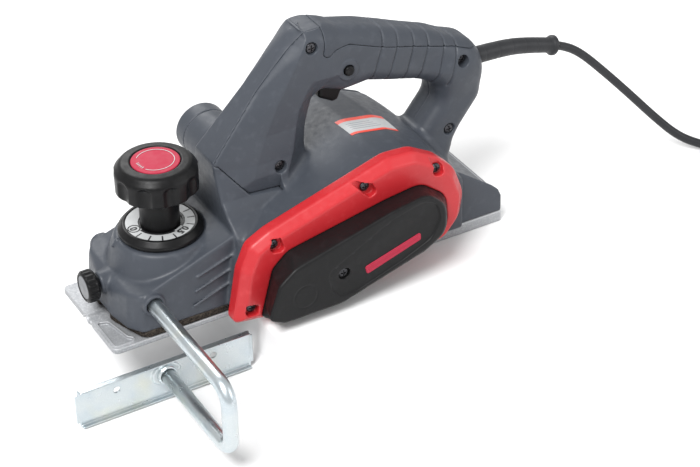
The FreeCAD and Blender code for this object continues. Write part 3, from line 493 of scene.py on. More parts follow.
def machined(name, colour, light, dark, roughness=0.3, along=(1, 1, 1)):
    """Turned, ground or drawn metal with fine lines across the stretched direction."""
    finish = Finish(name, colour, roughness, metallic=1.0)
    lines = finish.noise(0.5, 3, finish.stretched(*along))
    finish.tint(finish.span(lines, 0.4, 0.65, 0, 0.5), light)
    finish.clouds(14, 4, 0.5, 0.75, 0.4, dark)
    finish.rough(3, 4, roughness - 0.06, roughness + 0.12)
    finish.bump(lines, 0.015)
    return finish.material


def zinc():
    """Bright zinc plating with faint blue and straw tints."""
    finish = Finish("zinc_steel", (196, 203, 205), 0.3, metallic=1.0)
    finish.clouds(16, 3, 0.42, 0.62, 0.4, (172, 186, 196))
    finish.clouds(26, 2, 0.55, 0.72, 0.35, (206, 203, 176))
    finish.tint(finish.span(finish.noise(0.6, 4, finish.stretched(1, 0.08, 1)), 0.5, 0.7, 0, 0.3),
                (222, 226, 228))
    finish.rough(5, 4, 0.26, 0.38)
    finish.grain(0.7, 3, 0.004)
    return finish.material


def foam():
    """Open-cell foam: dark pores in a brown-grey sponge."""
    finish = Finish("foam", (50, 45, 41), 0.95, specular=0.15)
    finish.tint(finish.span(finish.cells(1.3), 0.15, 0.5, 0.9, 0), (12, 11, 10))
    finish.clouds(2, 4, 0.5, 0.7, 0.6, (82, 75, 67))
    finish.bump(finish.cells(1.3), 0.6)
    finish.grain(2.2, 3, 0.3)
    return finish.material


def windings():
    """Enamelled copper wire, turn beside turn."""
    finish = Finish("copper_wire", (176, 92, 48), 0.3, metallic=0.9)
    turns = finish.noise(0.5, 1, finish.stretched(1, 0.05, 1))
    finish.tint(finish.span(turns, 0.45, 0.6), (110, 48, 22))
    finish.bump(turns, 0.2)
    return finish.material


def laminations():
    """Stacked steel sheets."""
    finish = Finish("lamination_steel", (92, 92, 96), 0.45, metallic=0.9)
    sheets = finish.noise(0.4, 0, finish.stretched(0.01, 1, 0.01))
    finish.tint(finish.span(sheets, 0.45, 0.6), (52, 50, 52))
    finish.bump(sheets, 0.1)
    return finish.material


def carbon():
    """Pressed carbon of the brushes."""
    finish = Finish("carbon", (40, 40, 42), 0.5, specular=0.4)
    finish.tint(finish.span(finish.noise(0.7, 4), 0.5, 0.65), (72, 72, 74))
    return finish.material


# Colour, pale speckle and painted edge highlight, and dark drift, then roughness, grain size and
# specular level.
MOULDED = {
    "grey_nylon": ((60, 64, 71), (92, 96, 103), (51, 55, 62), 0.43, 0.45, 0.3),
    "grip_rubber": ((58, 62, 69), (88, 92, 99), (49, 53, 59), 0.54, 0.6, 0.3),
    "red_plastic": ((178, 34, 40), (208, 84, 88), (162, 26, 33), 0.38),
    "cover_plastic": ((20, 20, 21), (44, 44, 46), (15, 15, 16), 0.42, 0.45, 0.2),
    "black_plastic": ((15, 15, 16), (42, 42, 44), (11, 11, 12), 0.36, 0.45, 0.18),
    "crimson_label": ((158, 34, 58), (176, 64, 84), (146, 30, 50), 0.5, 0.45, 0.2),
    "white_scale": ((162, 164, 165), (180, 182, 182), (152, 154, 156), 0.45),
    "clamp_face": ((96, 98, 102), (124, 126, 130), (84, 86, 90), 0.36),
    "label_orange": ((204, 58, 40), (222, 150, 138), (204, 58, 40), 0.35),
    "label_grey": ((120, 124, 128), (222, 150, 138), (120, 124, 128), 0.35),
}
# Colour, bright lines and dark clouds, then roughness and the stretch of the lines.
MACHINED = {
    "drum_alloy": ((178, 180, 184), (206, 208, 210), (140, 142, 146), 0.3, (1, 0.05, 1)),
    "bright_steel": ((190, 190, 192), (214, 214, 216), (150, 150, 152)),
    "spring_steel": ((142, 142, 146), (178, 178, 182), (96, 96, 100), 0.35),
    "blade_steel": ((186, 190, 196), (220, 224, 228), (150, 154, 160), 0.2, (0.05, 1, 1)),
    "pulley_steel": ((150, 150, 154), (184, 184, 188), (112, 112, 116)),
    "brass_part": ((200, 166, 96), (226, 196, 128), (160, 126, 66), 0.3),
    "copper_bars": ((196, 118, 76), (226, 152, 108), (150, 82, 50), 0.3, (1, 0.05, 1)),
    "black_steel": ((56, 56, 59), (122, 122, 126), (38, 38, 40), 0.34),
}
FINISHES = {
    **{name: moulded(name, *look) for name, look in MOULDED.items()},
    **{name: machined(name, *look) for name, look in MACHINED.items()},
    "cast_aluminium": cast_metal("cast_aluminium", (152, 154, 157), (186, 187, 189),
                                 (124, 126, 130), 0.5),
    "belt_rubber": rubber("belt_rubber", (28, 28, 29), (48, 48, 48), 0.7),
    "cord_rubber": rubber("cord_rubber", (30, 31, 34), (50, 51, 54), 0.46),
    "zinc_steel": zinc(), "foam": foam(), "copper_wire": windings(),
    "lamination_steel": laminations(), "carbon": carbon(),
}


def dress_nodes():
    """Every carried-over CAD node takes the finish of its own slot."""
    for node in nodes.values():
        slot = node.data.materials[0].name.split(".")[0]
        node.data.materials.clear()
        node.data.materials.append(FINISHES[slot])


def sweep(name, path, radii, side, body, slot, *stands_for):
    """A round section of changing radius carried along a path square to the side direction."""
    tangent = np.gradient(path, axis=0)
    tangent[0], tangent[-1] = tangent[2], tangent[-3]
    tangent /= np.maximum(np.linalg.norm(tangent, axis=1), 1e-9)[:, None]
    for index in range(1, len(tangent)):
        if not tangent[index].any():
            tangent[index] = tangent[index - 1]
    ring, side = 48, np.array(side, float)
    angles = np.linspace(0, 2 * math.pi, ring, endpoint=False)[:, None]
    vertices = [point + radius * (np.cos(angles) * side + np.sin(angles) * np.cross(side, heading))
                for point, heading, radius in zip(path, tangent, radii)]
    faces = [(i * ring + j, i * ring + (j + 1) % ring, (i + 1) * ring + (j + 1) % ring,
              (i + 1) * ring + j) for i in range(len(path) - 1) for j in range(ring)]
    thing = new_object(name, np.concatenate(vertices), np.array(faces), FINISHES[slot])
    return adopt(thing, body, slot, *stands_for)


# ---- housing and handle

BODY = [(-45.5, 9, 2), (-39.5, 42, 8), (-32, 57.5, 8), (-8, 68.5, 20), (66, 92.5, 14),
        (87, 91, 14), (110, 81, 18), (122, 66, 10), (133.5, 48, 6), (133.5, 9, 2)]
NOSE_PLAN = [(-115.5, -12, 6), (-115.5, 12, 6), (-112.3, 30, 4), (-105.5, 40.5, 5),
             (-30, 41, 1), (-30, -41, 1), (-105.5, -40.5, 5), (-112.3, -30, 4)]
NOSE_SIDE = [(-119, 8.8, 0), (-118, 27, 3), (-109, 35, 5), (-97, 37, 10), (-34, 58.5, 0),
             (-30, 58.5, 0), (-30, 8.8, 0)]
TAIL = [(118, 8.8, 0), (118, 60, 0), (134.5, 50, 4), (159.9, 31.4, 4), (165.1, 26.4, 2),
        (167.4, 21.2, 2), (167.4, 8.8, 0)]
TOWER = [(-36.5, 99, 3), (34.7, 180.2, 18), (56, 170, 8), (60, 126, 6),
         (42, 126, 5), (33, 104, 30), (32, 50, 0), (-36, 50, 0)]
GRIP = [(36, 124, 2), (38, 171, 4), (56, 170, 8), (79, 164.2, 60), (132, 144.3, 60),
        (159, 129.5, 14), (167.5, 114, 12), (150, 98, 6), (134, 108, 6), (120, 111.5, 12),
        (79, 123.5, 10), (72, 122.8, 4), (61, 122, 3), (44, 128, 3)]
REAR = [(128, 120, 4), (158, 130, 14), (169.6, 108, 22), (167, 88, 16), (145, 60, 16),
        (140, 46, 3), (128, 40, 1), (108, 60, 1), (134, 92, 14), (134.5, 104, 8)]
SEAM_ABOVE = [(-70, 102, 0), (-33.7, 96.9, 0), (-15.8, 74.3, 0.5), (6.9, 72.3, 0.5),
              (6.5, 57, 0), (60, 40, 0), (200, 40, 0), (200, 200, 0), (-70, 200, 0)]
SOFT = [(43, 150.5, 3), (47, 182, 2), (66, 184, 2), (172, 142, 2), (160, 126.5, 3),
        (143, 133.1, 20), (116, 141.2, 60), (88, 149.6, 40), (63, 159.1, 12), (52, 158, 6)]
HANDLE_SCREWS = [(35.8, -16.4, 163.7), (8.6, -18.6, 86), (148.7, -16.4, 122), (139.5, -17, 71)]
# Axes, by their two other coordinates: across the tool, then the upright one and the clamp's.
OUTLET, MOTOR, DRUM, LOCK = (-10.5, 81.8), (78.5, 46), (0, 28), (61.7, 141)
BAR_TOP, BAR_FOOT = (-96.9, 28.7), (-96.9, -19.1)
KNOB, CLAMP = (-70.5, 0), (0, 28.7)
GAP = 0.15  # between neighbouring mouldings


def level(grid, heights, values):
    """A value that changes with height."""
    return np.interp(grid.z, heights, values).astype(np.float32)


def prow_width(grid):
    """Half the width of the tower's narrow front face."""
    return level(grid, [56, 62, 74, 92, 138, 165, 176], [40, 34, 22, 14.5, 8.5, 9.5, 12])


def tower(grid):
    """The front pillar and the skirt under it: a narrow prow, flat flanks and a tapered back."""
    wide = level(grid, [52, 60, 66, 74, 92, 110], [46, 38, 29, 23, 19, 17])
    prow = prow_width(grid)
    front = level(grid, [60, 99, 120.4, 135.9, 156.2, 170.1, 176],
                  [-36, -36.5, -17.8, -3.9, 13.1, 27.3, 36])
    crease = level(grid, [56, 74.3, 92, 129.7, 170.5], [-30, -15.3, -8, 9.1, 33])
    back = level(grid, [58, 92, 113.9, 124.4, 176], [33, 33.5, 36.1, 39, 60])
    flank_end = level(grid, [65, 93.4, 121, 138.4, 150], [6, 18.6, 24.8, 34, 58])
    thin = level(grid, [60, 74, 90, 124, 140], [30, 12, 8, 8, 17])
    half = np.minimum(wide, prow + (wide - prow) * (grid.x - front) / (crease - front))
    half = np.minimum(half, thin + (wide - thin) * (back - grid.x)
                      / np.maximum(back - flank_end, 1))
    edge = (2 + level(grid, [140, 166], [0, 6])
            + level(grid, [138, 160], [0, 5]) * ease(grid.x, 18, 40))
    return between(grid.side(TOWER), grid.y, -np.maximum(half, 3), np.maximum(half, 3), edge)


def parting(grid):
    """Where the two handle shells meet: the middle plane, and the near edge of the prow."""
    lead = -36.5 + 0.9 * np.maximum(grid.z - 99, 0)
    ahead = np.maximum(ease(lead - grid.x, -10, -5), ease(grid.z, 148, 158))
    return -(prow_width(grid) - 1.2) * ahead


def prow_strip(grid):
    """One on the narrow front face of the tower's foot, where no joint line shows."""
    return (np.abs(grid.y) < prow_width(grid) - 1.4) & (grid.x < -18)


def grip_rings(grid):
    """Distance to the planes of the finger grooves, square to the grip."""
    along = 0.955 * grid.x - 0.295 * grid.z
    marks = [39.5, 51.6, 65.2, 77.1, 90.2, 100.2]
    return union(*(np.abs(along - mark) for mark in marks))


def handle_form(grid):
    """The handle above the housing as one closed form, with its grip grooves."""
    half = 17 - 0.9 * ease(grid.x, 95, 112) * ease(-grid.x, -140, -122)
    grip = between(grid.side(GRIP), grid.y, -half, half, 12.5)
    flare = 17 + 3 * ease(-grid.z, -72, -52)
    rear = between(grid.side(REAR), grid.y, -flare, flare, 10)
    form = join(join(tower(grid), grip, 5), rear, 14)
    groove = ease(-grip_rings(grid), -1.0, -0.3)
    groove = groove * ease(grid.x, 70, 76) * ease(-grid.x, -152, -148) * (
        ease(grid.z + 0.31 * grid.x, 147, 150) + (grid.x < 92))
    form = form + 0.95 * np.minimum(groove, 1) * (form < 2)
    form = join(form, grid.rod("Y", LOCK, -18, 0, 7.4, 0.4), 0.4)
    form = carve(form, grid.rod("Y", LOCK, -30, -13.6, 3.75, 0.2), 0.4)
    form = carve(form, grid.rod("Y", LOCK, -13.8, -9.6, 5.1))
    form = carve(form, grid.box((42.4, -7.5, 98), (69.4, 7.5, 135), 0.5), 0.4)
    for x, y, z in HANDLE_SCREWS:
        form = carve(form, grid.rod("Y", (x, z), -30, y + 2.3, 4.2), 0.7)
    return form


def trunk(grid):
    """The body between the pillars, with a slightly crowned top."""
    crown = 3.2 * (grid.y / 46) ** 2 * ease(grid.z, 45, 68)
    return between(grid.side(BODY) + crown, grid.y, -46, 46, 3)


def nose(grid):
    """The flared front with its round dome for the dial, ribs and rod bosses."""
    draft = 0.085 * (grid.z - 9)
    block = meet(grid.plan(NOSE_PLAN) + draft, grid.side(NOSE_SIDE), 1.8)
    radius = np.hypot(grid.x - KNOB[0], grid.y)
    flare = radius - 30.4 - (54 - grid.z) * 0.36
    dome = meet(between(flare * 0.93, grid.z, 12, 54, 2.2), np.abs(grid.y) - 36.6, 3)
    form = join(block, dome, 1.8)
    for index in range(3):
        base, side = 37.4 - 9.9 * index, 39.3 + 0.9 * index
        for face in (-1, 1):
            form = join(form, grid.capsule((-64.7 - 2.1 * index, face * side, base),
                                           (-37 - 2.6 * index, face * (side - 0.8), base + 8.4),
                                           0.8), 0.5)
    for low, high in mirrored(36, 42.2):
        form = join(form, grid.rod("Y", BAR_TOP, low, high, 7.6, 0.8), 1.2)
    form = join(form, grid.rod("X", CLAMP, -117.4, -108, 7.6, 1), 2)
    pointer = grid.capsule((-99.9, 4.4, 54.4), (-103.4, 5, 49.5), 0.8)
    return join(form, pointer, 0.6)


def tail(grid):
    """Two grey side walls that carry the bright deck between them."""
    profile = grid.side(TAIL)
    walls = between(profile, np.abs(grid.y), 38.6, 41, 0.8)
    core = between(profile + 1.8, grid.y, -38.8, 38.8, 0.5)
    return np.minimum(walls, core)


def make_housing():
    """The main housing, cut at the handle's seam and hollowed for the drum, motor and shoe."""
    grid = Grid((-121, -53, 6), (171, 53, 108), 0.92)
    form = join(join(trunk(grid), nose(grid), 2), tail(grid), 1.5)
    seam, whole, near = grid.side(SEAM_ABOVE), handle_form(grid), trunk(grid)
    foot = np.maximum(whole + 0.1, grid.z - 92)
    skirt = np.maximum(join(form, tower(grid), 1.5), -seam + GAP - 0.9 * prow_strip(grid))
    front = np.minimum(skirt, np.maximum(near, -whole + 0.2))
    form = np.where(grid.x < 7, front, join(form, foot, 7))
    form = join(form, grid.rod("Y", OUTLET, 17.5, 48, 18, 0.6), 3)
    form = join(form, grid.rod("Y", MOTOR, -49.5, -44, 17, 0.6), 1)
    room = union(grid.box((-84, -36, 0), (-44, 36, 34), 2),
                 grid.rod("Y", DRUM, -41.4, 41.4, 31), grid.rod("Y", MOTOR, -42, 47, 32),
                 grid.box((-34.4, -55, 0), (44.4, -40.9, 50.4)),
                 grid.box((-34.4, 40.9, 0), (44.4, 55, 50.4)),
                 grid.rod("Y", OUTLET, 20, 50, 15.5), grid.box((-24, -28, 40), (3, 38, 60), 2),
                 grid.box((-21, 20, 50), (0, 40, 80), 2))
    post = grid.rod("Z", KNOB, 0, 40, 11)
    form = cut(form, cut(room, post), grid.rod("Y", BAR_TOP, -50, 50, 5.35),
               grid.rod("Z", KNOB, 0, 60, 5.3), grid.rod("X", CLAMP, -125, -96, 3.3),
               grid.rod("Y", MOTOR, -55, -41, 13.1), grid.rod("Z", KNOB, 54, 70, 28.9))
    return sculpt("housing", grid, form, "chassis", "grey_nylon", "main_housing")


def make_handle():
    """Two shells that meet at the parting, and the soft grip laid into them."""
    grid = Grid((-39, -21, 44), (172, 21, 179), 0.62)
    form = handle_form(grid)
    seam, strip = grid.side(SEAM_ABOVE), prow_strip(grid)
    form = np.maximum(form + 0.15 * strip * ease(seam, -1.2, -0.6), seam + GAP - 2 * strip)
    form = cut(form, trunk(grid) + 1.5, grid.rod("X", (0, 111), 150, 180, 6.35))
    soft, split = grid.side(SOFT), parting(grid)
    for side, name in ((1, "left"), (-1, "right")):
        shell = np.maximum(np.maximum(form, -soft + GAP), 0.05 - side * (grid.y - split))
        sculpt("handle_shell_" + name, grid, shell, "chassis", "grey_nylon",
               "handle_%s_shell" % name)
    grip = np.maximum(form - 0.15, soft + 0.1)
    sculpt("overmould", grid, grip, "chassis", "grip_rubber", "soft_grip")


def make_side_cover():
    """The far side's cover, with its vents, rib border and bearing boss."""
    grid = Grid((-49, 38, 7), (137, 55, 98), 0.75)
    outline = grid.side(BODY) + 3.4 * ease(grid.z, 45, 68)
    form = between(outline + 0.6, grid.y, 46.05, 52, 3)
    form = form + 0.8 * ease(-np.abs(outline + 9), -1.1, -0.4) * (grid.y > 50)
    form = join(form, grid.rod("Y", MOTOR, 41, 47, 16), 0.5)
    form = join(form, grid.rod("Y", MOTOR, 50, 52.6, 14, 1), 1.5)
    cuts = [grid.rod("Y", OUTLET, 30, 60, 18.3), grid.rod("Y", DRUM, 45, 50.3, 17.3),
            grid.rod("Y", MOTOR, 40, 50, 13.05)]
    for column in range(-3, 4):
        for row in (-1, 1):
            x, z = MOTOR[0] + 7 * column, MOTOR[1] + row * (23.5 - 0.6 * column * column)
            slot = np.hypot(grid.x - x, np.maximum(np.abs(grid.z - z) - 4, 0)) - 1.7
            cuts.append(between(slot, grid.y, 44, 56, 0.3))
    form = carve(form, union(*cuts), 0.6)
    sculpt("far_side_cover", grid, form, "chassis", "grey_nylon", "right_side_cover")


def make_outlet():
    """The spout that stands out of the far side for a hose or a bag."""
    grid = Grid((-32, 47, 60), (11, 62, 103), 0.5)
    profile = [(15.5, 48, 0.2), (18, 48, 0.2), (18, 58.6, 1.2), (17.4, 60, 0.5), (15.5, 60, 0.8)]
    form = grid.turned("Y", OUTLET, profile)
    sculpt("chip_spout", grid, form, "chassis", "grey_nylon", "chip_outlet")


# ---- belt side

TRIM = [(-49, 3.5, 4), (-41.5, 42, 10), (-34, 58.5, 9), (-20, 65.5, 16), (68, 91.8, 20),
        (88, 90.5, 16), (106.5, 80, 20), (119.5, 67.5, 22), (127, 46.5, 20), (124, 28, 16),
        (112, 14, 14), (20, 0.8, 20), (-28, 0.8, 12)]
COVER_BASE = [(-31, 4, 4), (-21, 40, 8), (-10, 50, 14), (62, 63.8, 22), (90, 67.5, 16),
              (110, 52, 16), (112, 26, 14), (90, 14, 30), (22, 2.6, 20), (-16, 2.6, 10)]
COVER_FACE = [(-35, 14, 5), (-26, 38, 8), (-14, 47, 14), (58, 66.5, 22), (86, 71, 14),
              (99.5, 57, 14), (99.5, 37, 12), (84, 27.5, 22), (20, 8.5, 20), (-22, 8.5, 9)]
PANEL = [(10, 36, 6), (12, 22, 8), (19, 14.6, 5), (31, 14.4, 6), (66, 26, 14), (88, 35.5, 12),
         (95, 49, 10), (91.5, 63, 10), (80, 66, 12), (56, 60, 14)]
POCKETS = [[(-40.5, 18, 1), (-32, 15.6, 1), (-32.6, 8.6, 1), (-42, 9.4, 3)],
           [(-20, 61.5, 1), (-14, 61.5, 1), (-11.5, 53, 2.5), (-14, 51, 2), (-21, 52, 2)],
           [(38.6, 84.6, 0.5), (54, 79.6, 2), (57.5, 72.2, 3), (51.5, 69.6, 3)],
           [(98.5, 83.6, 0.5), (104, 80.4, 1), (109.2, 73.6, 2.5), (108, 68.6, 2), (103, 68.6, 2)]]
TRIM_SCREWS = [(-36, 13), (-18, 56), (50, 77), (104, 73)]
COVER_SCREW = (22, 31)


def make_trim():
    """The red frame round the belt cover, bevelled and pocketed at its screws."""
    grid = Grid((-52, -62, -2), (134, -44, 95), 0.6)
    outline = grid.side(TRIM)
    form = between(outline, grid.y, -60, -46, 1)
    form = meet(form, (outline - (grid.y + 60) + 5.6) * 0.707, 1)
    form = carve(form, grid.side(COVER_BASE) - GAP, 0.6)
    for (x, z), corners in zip(TRIM_SCREWS, POCKETS):
        form = carve(form, between(grid.side(corners), grid.y, -70, -55.3, 0.4), 0.5)
        form = carve(form, grid.rod("Y", (x, z), -70, -55, 4, 0.3), 0.3)
    sculpt("belt_side_trim", grid, form, "chassis", "red_plastic", "belt_guard_trim")


def make_belt_cover():
    """The tapered black cover over the belt, and the strip on its face."""
    grid = Grid((-38, -80, 0), (115, -48, 74), 0.55)
    base, face = grid.side(COVER_BASE), grid.side(COVER_FACE)
    lean = np.clip((-grid.y - 60) / 18, 0, 1)
    form = between(base * (1 - lean) + face * lean, grid.y, -78, -50.2, 2)
    fade = ease(0.8 * grid.x - 1.6 * (grid.z - 30), 0, 30)
    form = carve(form, between(grid.side(PANEL), grid.y, -90, -78 + 1.1 * fade, 0.3), 0.8)
    circle = np.abs(np.hypot(grid.x + 7, grid.z - 24) - 8.4)
    form = form + 0.25 * ease(-circle, -0.9, -0.2) * (grid.y < -76)
    post = 4.9 - np.hypot(grid.x - COVER_SCREW[0], grid.z - COVER_SCREW[1])
    hollow = between(np.maximum(base, face) + 4, grid.y, -75.4, -40, 0.5)
    form = cut(form, np.maximum(hollow, post))
    form = carve(form, grid.rod("Y", COVER_SCREW, -90, -74.4, 4.2), 0.9)
    sculpt("drive_cover", grid, form, "chassis", "cover_plastic", "belt_cover")
    strip = Grid((35, -79, 22), (83, -76, 46), 0.3)
    outline = strip.side([(38.8, 24.4, 1.5), (80, 37.2, 1.5), (79.6, 42.9, 1.5), (37.3, 30.6, 1.5)])
    form = between(outline, strip.y, -77.4, -76.5, 0.25)
    form = form + 0.2 * ease(-np.abs(outline + 1.3), -0.35, -0.1) * (strip.y < -77.1)
    sculpt("name_strip", strip, form, "chassis", "crimson_label", "label_plate")


def screw_head(grid):
    """A pan head with a cross recess, facing -Y, its crown at y = 0."""
    head = grid.turned("Y", (0, 0), [(0, 2.4, 0), (3.4, 2.4, 0.2), (3.4, 1.0, 0.8), (0, 0, 0)])
    cross = union(grid.box((-2.1, -1, -0.42), (2.1, 1.5, 0.42), 0.1),
                  grid.box((-0.42, -1, -2.1), (0.42, 1.5, 2.1), 0.1))
    return carve(head, cross, 0.15)


def make_screws():
    """Every screw head that shows, one piece for each set."""
    grid = Grid((-4, -0.6, -4), (4, 3, 4), 0.16)
    for name, places, slot in (
            ("handle_screw_heads", HANDLE_SCREWS, "handle_screws"),
            ("trim_screw_heads", [(x, -57.3, z) for x, z in TRIM_SCREWS], "trim_screws"),
            ("cover_screw_head", [(COVER_SCREW[0], -76.6, COVER_SCREW[1])], "cover_screw")):
        vertices, faces = copies(grid, screw_head(grid), places)
        adopt(new_object(name, vertices, faces, FINISHES["black_steel"]), "chassis",
              "black_steel", slot)


# ---- depth adjuster

def make_knob():
    """The fluted hand knob, the disc on it and the dial under it."""
    grid = Grid((-100, -30, 58), (-41, 30, 109), 0.5)
    profile = [(0, 59.6, 0), (13, 59.6, 0.4), (13, 84, 2), (16, 86.2, 1.5), (25.5, 86.2, 1),
               (27.4, 88, 1.5), (27.4, 101.5, 4.5), (23, 106.6, 5), (16.7, 107.3, 0.8),
               (16.2, 106.2, 0), (0, 106.2, 0)]
    form = grid.turned("Z", KNOB, profile)
    for index in range(10):
        centre = on_circle(KNOB, 31.9, math.radians(36 * index + 12))
        form = carve(form, grid.rod("Z", centre, 70, 102.5, 7, 5), 0.9)
    sculpt("depth_hand_knob", grid, form, "depth_adjuster", "black_plastic", "depth_knob")
    cap = Grid((-88, -17.5, 105), (-53, 17.5, 108), 0.4)
    profile = [(0, 106, 0), (15.9, 106, 0), (15.9, 107.1, 0.5), (0, 107.3, 0)]
    sculpt("knob_disc", cap, cap.turned("Z", KNOB, profile), "depth_adjuster", "crimson_label",
           "knob_cap")
    ring = Grid((-101, -31, 53), (-40, 31, 62.5), 0.45)
    profile = [(5.2, 54.4, 0), (27.2, 54.4, 0.3), (28, 55.4, 0.5), (28, 57.4, 1.2),
               (24.9, 61, 0.8), (22.9, 61, 0.4), (22.8, 59.6, 0), (5.2, 59.6, 0)]
    sculpt("dial_body", ring, ring.turned("Z", KNOB, profile), "depth_adjuster",
           "black_plastic", "dial_ring")


NUMBER_RADIUS, DIAL_TOP, DISC_TOP = 18.4, 60.5, 107.42


def arcs(name, spans, radius_in, radius_out, height, slot, centre=KNOB):
    """Thin flat marks between two radii about a centre; spans are in degrees."""
    vertices, faces = [], []
    for low, high in spans:
        steps = max(2, int((high - low) / 4) + 1)
        first = len(vertices)
        for angle in np.radians(np.linspace(low, high, steps)):
            for radius, z in ((radius_in, height - 0.15), (radius_in, height), (radius_out, height),
                              (radius_out, height - 0.15)):
                vertices.append((*on_circle(centre, radius, angle), z))
        for step in range(steps - 1):
            a, b = first + 4 * step, first + 4 * step + 4
            faces += [(a + i, a + (i + 1) % 4, b + (i + 1) % 4, b + i) for i in range(4)]
        faces += [(first + 3, first + 2, first + 1, first),
                  tuple(first + 4 * (steps - 1) + i for i in range(4))]
    thing = new_object(name, np.array(vertices), np.array(faces), FINISHES[slot])
    thing.data.shade_flat()
    adopt(thing, "depth_adjuster", slot)


def digits(name, text, angle):
    """A small raised number on the dial, its top outwards."""
    data = bpy.data.curves.new(name, "FONT")
    data.body, data.size, data.extrude, data.offset = text, 6.6 * MM, 0.06 * MM, 0.32 * MM
    data.align_x, data.align_y = "CENTER", "CENTER"
    thing = put(name, data)
    turn = math.radians(angle)
    place = (*on_circle(KNOB, NUMBER_RADIUS, turn), DIAL_TOP - 0.04)
    thing.matrix_world = (Matrix.Translation(Vector(place) * MM)
                          @ Matrix.Rotation(turn - math.pi / 2, 4, "Z"))
    data.materials.append(FINISHES["black_plastic"])
    adopt(thing, "depth_adjuster", "black_plastic")


def make_scale():
    """The dial's numbers and marks, and the printed ring on the knob's disc."""
    zero, half_turn = 178, 117.5
    numbers = [zero + half_turn * index for index in range(3)]
    marks = [zero + half_turn / 5 * index for index in range(1, 13)]
    spans = [(mark - 1.3, mark + 1.3) for mark in marks
             if min(abs(mark - number) for number in numbers) > 6]
    arcs("scale_ticks", spans, 17.6, 22.5, DIAL_TOP, "black_plastic")
    arcs("scale_line", [(a + 13, b - 13) for a, b in zip(numbers, numbers[1:])], 14.5, 16.1,
         DIAL_TOP, "black_plastic")
    arcs("zero_ring", [(0, 360)], 3.4, 4.3, DIAL_TOP, "black_plastic",
         on_circle(KNOB, NUMBER_RADIUS, math.radians(zero)))
    for number, text in zip(numbers, ("0", "0.5", "1")):
        digits("scale_digits_" + text.replace(".", "_"), text, number)
    arcs("cap_arc", [(215, 500)], 12.1, 12.5, DISC_TOP, "white_scale")
    arcs("cap_marks", [(mark - 1.2, mark + 1.2) for mark in range(170, 210, 8)], 10.6, 12.5,
         DISC_TOP, "white_scale")


# ---- sole

def make_shoe():
    """The moving front sole: ribbed, pocketed, and grooved underneath."""
    grid = Grid((-129, -43, -1), (-17, 43, 18), 0.55)
    plan = grid.plan([(-127, -41, 4), (-19, -41, 1), (-19, 41, 1), (-127, 41, 4)])
    form = between(plan, grid.z, 0, 4, 0.6)
    form = join(form, np.maximum(grid.capsule((-126.5, 0, 2.4), (-20, 0, 2.4), 5), -grid.z), 1.5)
    form = join(form, grid.rod("Z", KNOB, 1, 16, 9), 1)
    pocket = grid.plan([(-124.2, -8.8, 1), (-117.5, -11, 3), (-113.5, -32, 5), (-108, -37.4, 2),
                        (-124.2, -37.4, 1.5)])
    form = join(form, between(np.abs(pocket - 0.2) - 0.7, grid.z, 2, 4.7, 0.5), 0.8)
    form = carve(form, between(pocket, grid.z, 2.6, 9, 0.4), 0.7)
    form = carve(form, (np.abs(grid.y) - 3.6 + grid.z) * 0.707, 0.4)
    lip = (np.abs(grid.y) + grid.z - 6.2) * 0.707 - 0.6
    form = carve(form, between(lip, grid.x, -140, -122, 0.3), 0.4)
    form = cut(form, grid.rod("Z", KNOB, 5, 30, 7.5), grid.z)
    sculpt("front_sole_casting", grid, form, "shoe", "cast_aluminium", "front_shoe")


def make_rear_sole():
    """The fixed rear sole with its cheeks, bearing bosses and raised deck."""
    grid = Grid((-37, -53, -1), (171, 53, 54), 0.85)
    form = grid.box((9.6, -41, 0), (167.8, 41, 8.8), 0.9)
    form = join(form, grid.box((20, -46, 2), (44, 46, 8.8), 0.5), 0.5)
    for cheek, boss in zip(mirrored(41.4, 46), mirrored(41.4, 49.8)):
        form = join(form, grid.box((-34, cheek[0], 2), (44, cheek[1], 50), 0.8), 0.5)
        form = join(form, grid.rod("Y", DRUM, *boss, 17, 0.8), 1)
    deck = [(132, 8, 0), (132, 50, 2), (159, 30.6, 3), (163.8, 25, 2), (165.6, 20.6, 2),
            (165.6, 8, 0)]
    form = join(form, between(grid.side(deck) + 0.6, grid.y, -38.2, 38.2, 0.8), 0.5)
    form = cut(form, grid.rod("Y", DRUM, -41.4, 41.4, 29.6),
               *(grid.rod("Y", DRUM, *span, 13.03) for span in mirrored(30, 60)))
    sculpt("rear_sole_casting", grid, form, "chassis", "cast_aluminium", "rear_sole")


def make_seal():
    """The foam strip between the moving shoe and the housing."""
    grid = Grid((-118, -43, 3.6), (-38, 43, 10.4), 0.6)
    outline = grid.plan([(-115, -12, 8), (-115, 12, 8), (-105, 41, 8), (-40, 41, 1),
                         (-40, -41, 1), (-105, -41, 8)])
    waves = np.sin(grid.x * 1.9 + 2 * np.sin(grid.y * 1.3))
    rough = 0.35 * waves * np.sin(grid.y * 2.1 + grid.z * 2.7)
    form = between(np.abs(outline + 4.2) - 4 + rough, grid.z, 4.4, 9.6, 1)
    form = cut(form, grid.box((-130, -8, 3), (-30, 8, 8.2)))
    seal = sculpt("foam_seal", grid, form, "chassis", "foam", "dust_seal")
    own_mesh(seal)


# ---- edge fence

